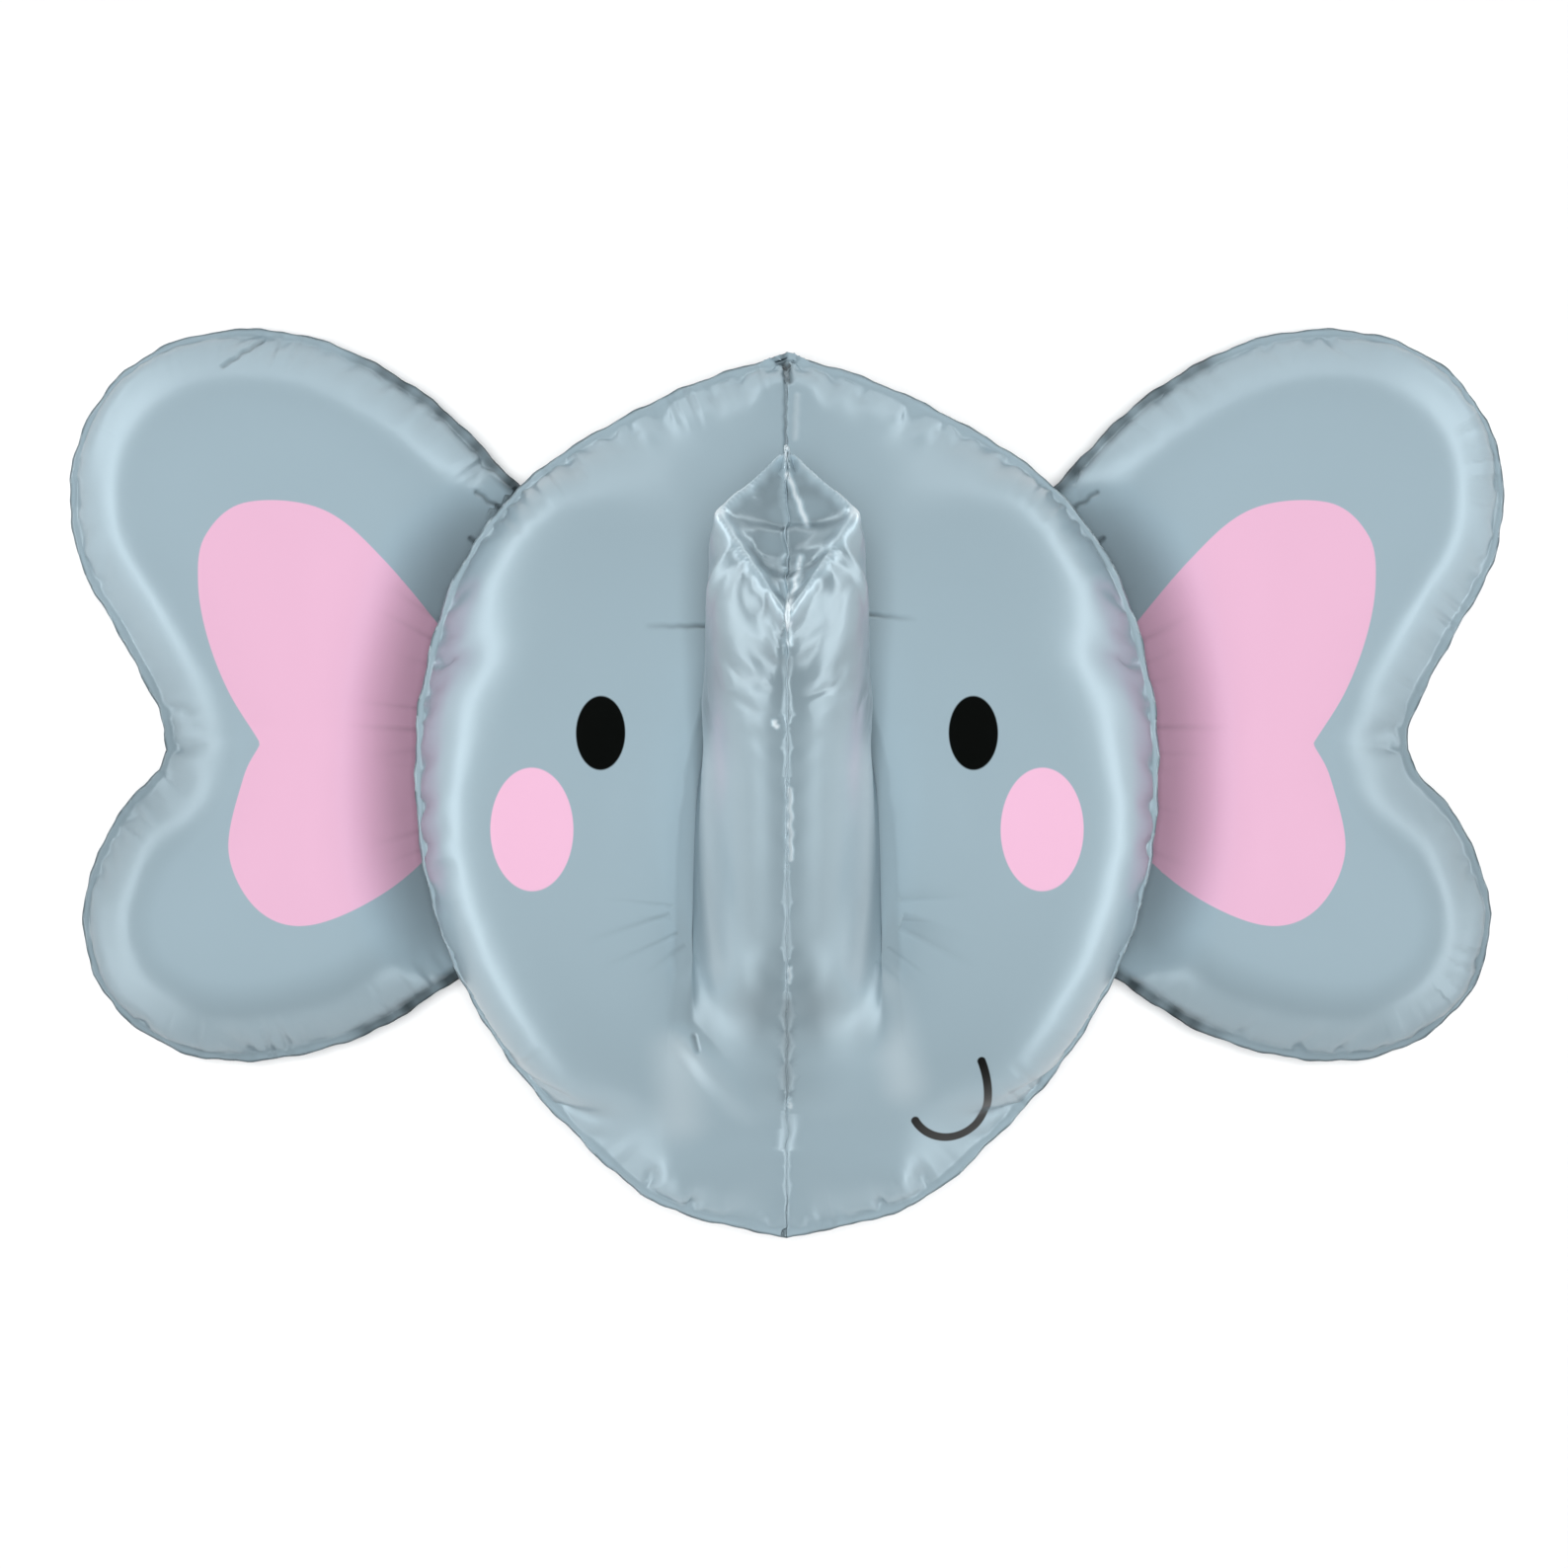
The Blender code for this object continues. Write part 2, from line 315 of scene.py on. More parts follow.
class Bag:
    """Foil panels laid in place, welded along shared lines and blown up.

    now and flat hold each point's present place and its place as cut, in metres. sheet
    names the panel of each triangle. held is 1 on a seam that keeps its place, and tight
    is 1 where the foil has no slack.
    """

    def __init__(self) -> None:
        """Starts with no panels."""
        self.names: list[str] = []
        self.laid: list[np.ndarray] = []
        self.cut_faces: list[np.ndarray] = []
        self.links: list[tuple[int, int]] = []
        self.now = self.flat = np.zeros((0, 3))
        self.faces = np.zeros((0, 3), int)
        self.sheet = np.zeros(0, int)
        self.held = self.tight = np.zeros(0)

    def lay(self, name: str, places: np.ndarray, faces: np.ndarray) -> None:
        """Adds a panel.

        Args:
            name: the panel's name.
            places: where its points lie.
            faces: its triangles, in an order that makes them face outwards.
        """
        self.names.append(name)
        self.laid.append(places)
        self.cut_faces.append(faces)

    def first_of(self, name: str) -> int:
        """Gives the number of a panel's first point among all the laid points."""
        return sum(len(p) for p in self.laid[:self.names.index(name)])

    def weld(self, one: str, ids: Sequence[int], other: str, other_ids: Sequence[int]) -> None:
        """Notes that points of two panels are to be one.

        Args:
            one: a panel's name.
            ids: its points along the seam.
            other: the other panel's name.
            other_ids: that panel's points, in the same order.
        """
        start, other_start = self.first_of(one), self.first_of(other)
        self.links += [(start + i, other_start + j) for i, j in zip(ids, other_ids)]

    def close(self) -> None:
        """Merges the welded points, so that the panels become one closed bag."""
        total = sum(len(p) for p in self.laid)
        root = list(range(total))

        def top(i: int) -> int:
            """Follows a point to the one that stands for it."""
            while root[i] != i:
                root[i] = root[root[i]]
                i = root[i]
            return i

        for i, j in self.links:
            a, b = top(i), top(j)
            root[max(a, b)] = min(a, b)
        used, place_of = np.unique([top(i) for i in range(total)], return_inverse=True)
        places = np.zeros((len(used), 3))
        count = np.zeros(len(used))
        np.add.at(places, place_of, np.vstack(self.laid))
        np.add.at(count, place_of, 1)
        self.flat = places / count[:, None]
        self.now = self.flat.copy()
        self.faces = np.vstack([place_of[f + self.first_of(n)] for n, f in zip(self.names, self.cut_faces)])
        self.sheet = np.repeat(np.arange(len(self.names)), [len(f) for f in self.cut_faces])
        self.held = np.zeros(len(used))
        self.tight = np.zeros(len(used))

    def points_of(self, *names: str) -> np.ndarray:
        """Gives the points that the named panels touch."""
        wanted = [self.names.index(n) for n in names]
        return np.unique(self.faces[np.isin(self.sheet, wanted)])

    def front_of(self, front: Sequence[str], back: Sequence[str]) -> np.ndarray:
        """Gives 1 at the points of the front panels, the seams and the flanges, and 0 behind."""
        mark = np.ones(len(self.now))
        mark[self.points_of(*back)] = 0
        mark[self.points_of(*front)] = 1
        return mark

    def edges(self) -> tuple[np.ndarray, np.ndarray]:
        """Gives the edges as pairs of points, and the edge of each triangle's three sides."""
        f = self.faces
        sides = np.sort(np.vstack([f[:, [0, 1]], f[:, [1, 2]], f[:, [2, 0]]]), axis=1)
        pairs, which = np.unique(sides, axis=0, return_inverse=True)
        return pairs, which.ravel()

    def refine(self) -> None:
        """Splits every triangle into four."""
        f = self.faces
        edges, which = self.edges()
        ab, bc, ca = np.split(which + len(self.now), 3)
        self.faces = np.vstack([np.column_stack(t) for t in (
            (f[:, 0], ab, ca), (ab, f[:, 1], bc), (ca, bc, f[:, 2]), (ab, bc, ca))])
        self.sheet = np.tile(self.sheet, 4)
        self.now, self.flat, self.held, self.tight = (
            np.concatenate([a, (a[edges[:, 0]] + a[edges[:, 1]]) / 2])
            for a in (self.now, self.flat, self.held, self.tight))

    def blow_up(self, recipe: Recipe) -> None:
        """Runs the recipe's stages, halving the triangles between them."""
        for number, stage in enumerate(recipe.wanted()):
            if number:
                self.refine()
            self.now = self.blown(recipe, stage)

    def blown(self, recipe: Recipe, stage: Stage) -> np.ndarray:
        """Blows the bag up for one stage in Blender's cloth simulation.

        The cloth starts from the present places and takes its lengths from the flat ones,
        which a shape key brings in from the second frame on.

        Args:
            recipe: the foil's settings.
            stage: the stage to run.

        Returns:
            Each point's new place.
        """
        mesh = bpy.data.meshes.new("blown")
        mesh.from_pydata((self.now * GROW).tolist(), [], self.faces.tolist())
        cloth = bpy.data.objects.new("blown", mesh)
        scene = bpy.context.scene
        scene.collection.objects.link(cloth)
        cloth.shape_key_add(name="Basis", from_mix=False)
        key = cloth.shape_key_add(name="flat", from_mix=False)
        key.data.foreach_set("co", (self.flat * GROW).astype(np.float32).ravel())
        for at, value in ((1, 0.0), (2, 1.0)):
            key.value = value
            key.keyframe_insert("value", frame=at)
        held = cloth.vertex_groups.new(name="held")
        held.add(np.nonzero(self.held > 0.99)[0].tolist(), 1.0, "REPLACE")
        tight = cloth.vertex_groups.new(name="tight")
        for i in np.nonzero(self.tight > 0)[0].tolist():
            tight.add([i], float(self.tight[i]), "REPLACE")
        modifier = cloth.modifiers.new("Cloth", "CLOTH")
        foil = modifier.settings
        foil.use_dynamic_mesh = True
        foil.vertex_group_mass, foil.pin_stiffness = "held", 1.0
        foil.vertex_group_shrink, foil.shrink_min, foil.shrink_max = "tight", -recipe.slack, 0.0
        foil.quality, foil.mass = recipe.quality, recipe.mass
        foil.tension_stiffness = recipe.tension
        foil.compression_stiffness = recipe.compression
        foil.shear_stiffness = recipe.compression * 4
        foil.bending_stiffness = stage.bending
        foil.tension_damping = foil.compression_damping = foil.shear_damping = recipe.damping
        foil.bending_damping = recipe.damping / 10
        foil.air_damping = recipe.damping
        foil.use_pressure, foil.uniform_pressure_force = True, recipe.pressure
        foil.effector_weights.gravity = 0
        modifier.collision_settings.use_collision = False
        modifier.point_cache.frame_start = 1
        modifier.point_cache.frame_end = stage.frames + 2
        for number in range(1, stage.frames + 1):
            scene.frame_set(number)
        shaped = cloth.evaluated_get(bpy.context.evaluated_depsgraph_get()).to_mesh()
        places = np.zeros(len(self.now) * 3, np.float32)
        shaped.vertices.foreach_get("co", places)
        action = mesh.shape_keys.animation_data.action
        bpy.data.objects.remove(cloth)
        bpy.data.meshes.remove(mesh)
        bpy.data.actions.remove(action)
        scene.frame_set(1)
        return places.reshape(-1, 3).astype(float) / GROW

    def soften(self, rounds: int, share: float | np.ndarray) -> None:
        """Evens out ripples, leaving the held seam where it is.

        Args:
            rounds: how many times.
            share: how far each point moves towards the middle of its neighbours.
        """
        pairs, _ = self.edges()
        ends = np.concatenate([pairs[:, 0], pairs[:, 1]])
        near = np.concatenate([pairs[:, 1], pairs[:, 0]])
        size = len(self.now)
        count = np.bincount(ends, minlength=size)
        move = np.where(self.held < 0.5, share, 0)
        for _ in range(rounds):
            for k in range(3):
                middle = np.bincount(ends, self.now[near, k], size) / count
                self.now[:, k] += (middle - self.now[:, k]) * move

    def seam_between(self, one: Sequence[str], other: Sequence[str]) -> tuple[list[int], bool]:
        """Follows the seam between two sets of panels.

        Args:
            one: the panels on one side.
            other: the panels on the other side.

        Returns:
            The seam's points in order, and whether it closes on itself.
        """
        mark = np.zeros(len(self.names) + 1, int)
        mark[[self.names.index(n) for n in one]] = 1
        mark[[self.names.index(n) for n in other]] = 2
        edges, which = self.edges()
        seen = np.zeros((len(edges), 3), bool)
        seen[which, np.tile(mark[self.sheet], 3)] = True
        beside: dict[int, list[int]] = {}
        for a, b in edges[seen[:, 1] & seen[:, 2]].tolist():
            beside.setdefault(a, []).append(b)
            beside.setdefault(b, []).append(a)
        ends = sorted(p for p, near in beside.items() if len(near) == 1)
        chain = [ends[0] if ends else min(beside)]
        last = -1
        for _ in range(len(beside) - 1):
            onward = min(p for p in beside[chain[-1]] if p != last)
            last = chain[-1]
            chain.append(onward)
        return chain, not ends

    def add_flange(self, one: Sequence[str], other: Sequence[str], shape: "Flange",
                   outward: Callable[[np.ndarray, np.ndarray], np.ndarray], across: Vector) -> None:
        """Adds the flat heat-sealed strip that stands out along a seam.

        The bag opens along the seam by the strip's thickness, and the strip's two faces
        meet at its outer edge, so the mesh stays closed.

        Args:
            one: the panels on the side that across points to.
            other: the panels on the other side.
            shape: the strip's sizes.
            outward: gives the strip's direction from places along the seam and their ways.
            across: the direction through the strip's thickness.
        """
        chain, closed = self.seam_between(one, other)
        seam = np.array(chain)
        places = self.now[seam]
        if closed:
            way = np.roll(places, -1, axis=0) - np.roll(places, 1, axis=0)
        else:
            way = np.gradient(places, axis=0)
        way /= np.linalg.norm(way, axis=1)[:, None]
        out = outward(places, way)
        side = np.array(across)
        run = np.r_[0, np.cumsum(np.linalg.norm(np.diff(places, axis=0), axis=1))]
        width, bend = shape.waves(run, closed)
        if not closed:
            grip = np.clip(np.minimum(run, run[-1] - run) / shape.taper, 0, 1)
            width, bend = width * grip, bend * grip
        half = side * shape.thickness / 2
        start = len(self.now)
        count = len(seam)
        middle = places + out * width[:, None] / 2 + side * bend[:, None] * 0.4
        edge = places + out * width[:, None] + side * bend[:, None]
        self.now[seam] = places + half
        self.now = np.vstack([self.now, places - half, middle + half, middle - half, edge])
        added = len(self.now) - start
        self.flat = np.vstack([self.flat, np.zeros((added, 3))])
        self.held = np.r_[self.held, np.ones(added)]
        self.tight = np.r_[self.tight, np.zeros(added)]
        low, mid_high, mid_low, rim = (start + k * count + np.arange(count) for k in range(4))
        if not closed:
            for row in (low, mid_high, mid_low, rim):
                row[[0, -1]] = seam[[0, -1]]
            self.now[seam[[0, -1]]] = places[[0, -1]]
        swap = np.arange(len(self.now))
        swap[seam] = low
        own = np.isin(self.sheet, [self.names.index(n) for n in other])
        self.faces[own] = swap[self.faces[own]]
        last = count if closed else count - 1
        strips = []
        for a, b in ((seam, mid_high), (mid_high, rim), (rim, mid_low), (mid_low, low)):
            for i in range(last):
                j = (i + 1) % count
                strips += [(a[i], a[j], b[j]), (a[i], b[j], b[i])]
        strips = np.array([t for t in strips if len(set(map(int, t))) == 3])
        self.faces = np.vstack([self.faces, strips])
        self.sheet = np.r_[self.sheet, np.full(len(strips), len(self.names))]

    def mesh(self, name: str, lift: float, marks: dict[str, np.ndarray],
             folds: Sequence[Fold | Fan]) -> bpy.types.Object:
        """Makes the bag a mesh object that stands at the origin, with its folds pressed in.

        Args:
            name: the piece's name.
            lift: how high the chamber's own zero lies, in metres.
            marks: numbers that the finish reads at each point, by name.
            folds: the folds and creases of the front.

        Returns:
            The object.
        """
        places = self.now + (0, 0, lift)
        mesh = bpy.data.meshes.new(name)
        mesh.from_pydata(places.tolist(), [], self.faces.tolist())
        for mark, values in marks.items():
            layer = mesh.attributes.new(mark, "FLOAT", "POINT")
            layer.data.foreach_set("value", values.astype(np.float32))
        shape = bmesh.new()
        shape.from_mesh(mesh)
        loose = [v for v in shape.verts if not v.link_faces]
        bmesh.ops.delete(shape, geom=loose, context="VERTS")
        bmesh.ops.recalc_face_normals(shape, faces=shape.faces)
        press_folds(shape, folds)
        shape.to_mesh(mesh)
        shape.free()
        mesh.shade_smooth()
        piece = bpy.data.objects.new(name, mesh)
        bpy.context.scene.collection.objects.link(piece)
        return piece


def press_folds(shape: bmesh.types.BMesh, folds: Sequence[Fold | Fan]) -> None:
    """Presses folds into a mesh, after splitting the triangles near them.

    Args:
        shape: the mesh, with its mark front, which gets the mark shine: the folds' painted highlights and
            painted shade.
        folds: the folds and creases.
    """
    front = shape.verts.layers.float["front"]
    painted_light = shape.verts.layers.float.new("painted_light")
    for margin in (FOLD_MARGIN, FOLD_MARGIN / 2):
        places = np.array([v.co[:] for v in shape.verts])
        near = np.max([fold.nearness(places, margin) for fold in folds if fold.rise], axis=0)
        shape.verts.index_update()
        chosen = [e for e in shape.edges if max(near[e.verts[0].index], near[e.verts[1].index]) > 0
                  and e.verts[0][front] + e.verts[1][front] > 1]
        split = bmesh.ops.subdivide_edges(shape, edges=chosen, cuts=1, use_grid_fill=True)
        bmesh.ops.triangulate(shape, faces=[f for f in shape.faces if len(f.verts) > 3])
        added = [v for v in split["geom_inner"] if isinstance(v, bmesh.types.BMVert)]
        for _ in range(2):
            bmesh.ops.smooth_vert(shape, verts=added, factor=0.4, **ALL_AXES)
    shape.normal_update()
    places = np.array([v.co[:] for v in shape.verts])
    rise, light = np.zeros(len(places)), np.zeros(len(places))
    for fold in folds:
        near = fold.nearness(places)
        rise += near * fold.rise
        light += near * fold.painted_light
    for vert, up, bright in zip(shape.verts, rise, light):
        if vert[front] > 0.5 and (up or bright):
            vert.co += vert.normal * up
            vert[painted_light] = bright


@dataclass(frozen=True)
class Flange:
    """The flat strip along a heat-sealed seam."""

    width: float = 0.004
    thickness: float = 0.0006
    ripple: float = 0.0009
    pitch: float = 0.040
    taper: float = 0.012
    uneven: float = 0.12

    def waves(self, run: np.ndarray, closed: bool) -> tuple[np.ndarray, np.ndarray]:
        """Works out the strip's uneven width and how it ripples to either side.

        Args:
            run: the length along the seam of each of its points.
            closed: whether the seam closes on itself, which needs whole waves.

        Returns:
            The width and the sideways bend at each point.
        """
        length = run[-1] + (run[1] - run[0] if closed else 0)
        turns = max(1, round(length / self.pitch))
        phase = 2 * math.pi * run / length
        drift = np.sin(phase * 3 + 0.8) + 0.6 * np.sin(phase * 7 + 2.1)
        ripple = np.sin(phase * turns + drift * 1.6) + 0.5 * np.sin(phase * (turns * 2 + 3) - drift)
        rough = np.sin(phase * (turns + 5) + 1.3 * drift) + 0.4 * np.sin(phase * (turns * 3 + 1))
        return self.width * (1 + self.uneven * rough), self.ripple * ripple


class Wires:
    """Adds nodes to a material and joins them up."""

    def __init__(self, tree: bpy.types.NodeTree) -> None:
        """Keeps the node tree that is worked on."""
        self.tree = tree

    def node(self, kind: str, **settings: object) -> bpy.types.Node:
        """Adds a node and sets its properties."""
        made = self.tree.nodes.new(kind)
        for name, value in settings.items():
            setattr(made, name, value)
        return made

    def feed(self, socket: bpy.types.NodeSocket, value: object) -> None:
        """Links a socket to an output, or sets it to a constant."""
        if isinstance(value, bpy.types.NodeSocket):
            self.tree.links.new(value, socket)
        else:
            socket.default_value = value

    def math(self, kind: str, *values: object, clamp: bool = False) -> bpy.types.NodeSocket:
        """Adds a Math node.

        Args:
            kind: its operation.
            values: its inputs, as numbers or outputs.
            clamp: whether the result is kept from 0 to 1.

        Returns:
            The node's output.
        """
        made = self.node("ShaderNodeMath", operation=kind, use_clamp=clamp)
        for socket, value in zip(made.inputs, values):
            self.feed(socket, value)
        return made.outputs[0]

    def place(self) -> tuple[bpy.types.NodeSocket, ...]:
        """Gives the surface's X, Y and Z on the object."""
        where = self.node("ShaderNodeTexCoord")
        parts = self.node("ShaderNodeSeparateXYZ")
        self.tree.links.new(where.outputs["Object"], parts.inputs[0])
        return tuple(parts.outputs[:3])

    def mark(self, name: str) -> bpy.types.NodeSocket:
        """Reads a number that the mesh holds at each point."""
        return self.node("ShaderNodeAttribute", attribute_name=name).outputs["Fac"]

    def noise(self, scale: float, detail: float = 2.0) -> bpy.types.NodeSocket:
        """Adds noise on the object's own coordinates, from 0 to 1."""
        where = self.node("ShaderNodeTexCoord")
        made = self.node("ShaderNodeTexNoise")
        self.tree.links.new(where.outputs["Object"], made.inputs["Vector"])
        made.inputs["Scale"].default_value = scale
        made.inputs["Detail"].default_value = detail
        return made.outputs["Fac"]

    def noise_along(self, where: object) -> bpy.types.NodeSocket:
        """Adds noise along a line, from 0 to 1."""
        made = self.node("ShaderNodeTexNoise", noise_dimensions="1D")
        self.feed(made.inputs["W"], where)
        made.inputs["Scale"].default_value = 1.0
        made.inputs["Detail"].default_value = 1.0
        return made.outputs["Fac"]

    def blend(self, share: object, first: object, second: object) -> bpy.types.NodeSocket:
        """Mixes two colours, the second one by its share."""
        made = self.node("ShaderNodeMix", data_type="RGBA")
        for socket, value in zip((made.inputs[0], made.inputs[6], made.inputs[7]), (share, first, second)):
            self.feed(socket, (*value, 1.0) if isinstance(value, tuple) else value)
        return made.outputs[2]

    def edge(self, distance: bpy.types.NodeSocket, blur: float) -> bpy.types.NodeSocket:
        """Turns a distance, negative inside, into ink: 1 inside and 0 outside."""
        scaled = self.math("DIVIDE", distance, -blur)
        return self.math("ADD", scaled, 0.5, clamp=True)

    def ramp(self, value: object, start: float, end: float) -> bpy.types.NodeSocket:
        """Rises smoothly from 0 at the start value to 1 at the end value."""
        made = self.node("ShaderNodeMapRange", interpolation_type="SMOOTHSTEP")
        for socket, given in zip(made.inputs, (value, start, end, 0.0, 1.0)):
            self.feed(socket, given)
        return made.outputs[0]

    def between(self, share: object, first: object, second: object) -> bpy.types.NodeSocket:
        """Gives a number between two others, the second one by its share."""
        made = self.node("ShaderNodeMix", data_type="FLOAT")
        for socket, value in zip(made.inputs[:1] + made.inputs[2:4], (share, first, second)):
            self.feed(socket, value)
        return made.outputs[0]

    def total(self, values: Sequence[object]) -> object:
        """Adds up any number of values."""
        result = values[0]
        for value in values[1:]:
            result = self.math("ADD", result, value)
        return result

    def ridges(self, noise: object, width: float) -> bpy.types.NodeSocket:
        """Turns noise into thin lines, 1 where it crosses its middle value."""
        off = self.math("ABSOLUTE", self.math("SUBTRACT", noise, 0.5))
        return self.ramp(off, width, 0.0)


@dataclass(frozen=True)
class Oval:
    """A printed oval, seen from above."""

    centre: Point
    half_width: float
    half_height: float

    def ink(self, wires: Wires, blur: float) -> bpy.types.NodeSocket:
        """Gives the oval's ink, 1 inside it."""
        x, y, _ = wires.place()
        across = wires.math("DIVIDE", wires.math("SUBTRACT", x, self.centre[0]), self.half_width)
        along = wires.math("DIVIDE", wires.math("SUBTRACT", y, self.centre[1]), self.half_height)
        reach = wires.math("SQRT", wires.math("ADD", wires.math("MULTIPLY", across, across),
                                              wires.math("MULTIPLY", along, along)))
        inside = wires.math("MULTIPLY", wires.math("SUBTRACT", reach, 1.0), self.half_width)
        return wires.edge(inside, blur)


@dataclass(frozen=True)
class Arc:
    """A stroke along part of a circle, with round ends. Angles are in degrees from +X."""

    centre: Point
    radius: float
    start: float
    end: float
    half_stroke: float

    def tip(self, angle: float) -> Point:
        """Gives the point on the circle at an angle."""
        turn = math.radians(angle)
        return (self.centre[0] + self.radius * math.cos(turn), self.centre[1] + self.radius * math.sin(turn))

    def ink(self, wires: Wires, blur: float) -> bpy.types.NodeSocket:
        """Gives the stroke's ink, 1 inside it."""
        x, y, _ = wires.place()
        across = wires.math("SUBTRACT", x, self.centre[0])
        along = wires.math("SUBTRACT", y, self.centre[1])
        reach = wires.math("SQRT", wires.math("ADD", wires.math("MULTIPLY", across, across),
                                              wires.math("MULTIPLY", along, along)))
        off = wires.math("ABSOLUTE", wires.math("SUBTRACT", reach, self.radius))
        ring = wires.edge(wires.math("SUBTRACT", off, self.half_stroke), blur)
        turn = wires.math("ARCTAN2", along, across)
        after = wires.math("GREATER_THAN", turn, math.radians(self.start))
        before = wires.math("LESS_THAN", turn, math.radians(self.end))
        stroke = wires.math("MULTIPLY", ring, wires.math("MULTIPLY", after, before))
        for angle in (self.start, self.end):
            dot = Oval(self.tip(angle), self.half_stroke, self.half_stroke).ink(wires, blur)
            stroke = wires.math("MAXIMUM", stroke, dot)
        return stroke


@dataclass(frozen=True)
class Lobe:
    """A printed shape whose distance the mesh holds at each point, under a mark's name."""

    mark: str

    def ink(self, wires: Wires, blur: float) -> bpy.types.NodeSocket:
        """Gives the shape's ink, 1 inside it."""
        return wires.edge(wires.mark(self.mark), blur)


@dataclass(frozen=True)
class Ink:
    """One printed colour and the shapes that it fills."""

    colour: Colour
    shapes: tuple[Oval | Arc | Lobe, ...]


@dataclass(frozen=True)
class FoilFinish:
    """Printed foil with a satin coat: light film over bright metal.

    The mesh says what the foil does at each point, under these marks: front is 1 on the printed
    side, glossy where it shines more, crumpled where it is crumpled, shade how much painted shade
    darkens it, shine how much painted light a fold gets, a painted highlight where positive and
    painted shade where negative, rim the distance to the outline, negative inside, and along the
    length run along that outline.
    """

    base: Colour = (0.293, 0.386, 0.437)
    # Painted light: the colours that painted highlights and painted shade mix the foil towards.
    light: Colour = (0.80, 0.87, 0.90)
    dark: Colour = (0.040, 0.055, 0.062)
    metallic: float = 0.25
    glossy_metallic: float = 0.38
    roughness: float = 0.31
    glossy_roughness: float = 0.28
    coat: float = 0.06
    coat_roughness: float = 0.25
    print_blur: float = 0.0006
    mottle: float = 0.03
    mottle_scale: float = 9.0
    pucker_depth: float = 0.0013
    pucker_reach: float = 0.026
    pucker_rate: float = 48.0
    pucker_width: float = 0.20
    pucker_patches: float = 9.0
    pucker_patch: tuple[float, float] = (0.42, 0.66)
    # Painted shade in the puckers along the rim.
    pucker_painted_shade: float = -0.05
    dent_height: float = 0.0005
    dent_scale: float = 24.0
    dent_reach: tuple[float, float] = (-0.075, -0.030)
    crumple_depth: float = 0.0009
    crumple_scale: float = 32.0
    crumple_width: float = 0.16
    # Painted shade in the crumples.
    crumple_painted_shade: float = -0.12

    def material(self, name: str, inks: Sequence[Ink]) -> bpy.types.Material:
        """Makes the finish with its prints.

        Args:
            name: the material's name.
            inks: the printed colours, in the order that they are laid on.

        Returns:
            The material.
        """
        material = bpy.data.materials.new(name)
        material.use_nodes = True
        wires = Wires(material.node_tree)
        shader = material.node_tree.nodes["Principled BSDF"]
        shader.inputs["Coat Weight"].default_value = self.coat
        shader.inputs["Coat Roughness"].default_value = self.coat_roughness
        cloudy = wires.noise(self.mottle_scale, 3.0)
        shade = tuple(c * (1 - self.mottle) for c in self.base)
        tint = tuple(min(1.0, c * (1 + self.mottle)) for c in self.base)
        colour = wires.blend(cloudy, shade, tint)
        front = wires.mark("front")
        for ink in inks:
            laid = ink.shapes[0].ink(wires, self.print_blur)
            for shape in ink.shapes[1:]:
                laid = wires.math("MAXIMUM", laid, shape.ink(wires, self.print_blur))
            colour = wires.blend(wires.math("MULTIPLY", laid, front), colour, ink.colour)
        height, painted_light = self.relief(wires)
        # Painted light: the foil is mixed towards the light colour for painted highlights and towards the
        # dark colour for painted shade.
        colour = wires.blend(wires.math("MULTIPLY", painted_light, 1.0, clamp=True), colour, self.light)
        colour = wires.blend(wires.math("MULTIPLY", painted_light, -1.0, clamp=True), colour, self.dark)
        wires.feed(shader.inputs["Base Color"], colour)
        glossy = wires.mark("glossy")
        more = wires.math("MULTIPLY", glossy, self.glossy_metallic - self.metallic)
        wires.feed(shader.inputs["Metallic"], wires.math("ADD", self.metallic, more))
        less = wires.math("MULTIPLY", glossy, self.glossy_roughness - self.roughness)
        wires.feed(shader.inputs["Roughness"], wires.math("ADD", self.roughness, less))
        bump = wires.node("ShaderNodeBump")
        bump.inputs["Distance"].default_value = 1.0
        bump.inputs["Strength"].default_value = 1.0
        wires.feed(bump.inputs["Height"], height)
        wires.feed(shader.inputs["Normal"], bump.outputs["Normal"])
        return material

    def relief(self, wires: Wires) -> tuple[object, object]:
        """Gives the fine relief's height in metres, and its painted light: painted highlights and painted
        shade from the folds, the shade mark, the puckers and the crumples.
        """
        rim, along = wires.mark("rim"), wires.mark("along")
        lines = wires.noise_along(wires.math("MULTIPLY", along, self.pucker_rate))
        patches = wires.noise_along(wires.math("MULTIPLY", along, self.pucker_patches))
        near = wires.math("MULTIPLY", wires.ramp(rim, -self.pucker_reach, 0.0),
                          wires.ramp(patches, *self.pucker_patch))
        puckers = wires.math("MULTIPLY", wires.ridges(lines, self.pucker_width), near)
        dents = wires.math("MULTIPLY", wires.noise(self.dent_scale), wires.ramp(rim, *self.dent_reach))
        creased = wires.ridges(wires.noise(self.crumple_scale, 1.5), self.crumple_width)
        crumples = wires.math("MULTIPLY", creased, wires.mark("crumpled"))
        heights = [wires.math("MULTIPLY", puckers, -self.pucker_depth),
                   wires.math("MULTIPLY", dents, self.dent_height),
                   wires.math("MULTIPLY", crumples, -self.crumple_depth)]
        painted_lights = [wires.mark("painted_light"), wires.math("MULTIPLY", wires.mark("shade"), -1.0),
                  wires.math("MULTIPLY", puckers, self.pucker_painted_shade),
                  wires.math("MULTIPLY", crumples, self.crumple_painted_shade)]
        return wires.total(heights), wires.total(painted_lights)


PINK: Colour = (0.765, 0.452, 0.615)
BLACK: Colour = (0.001, 0.0015, 0.0012)


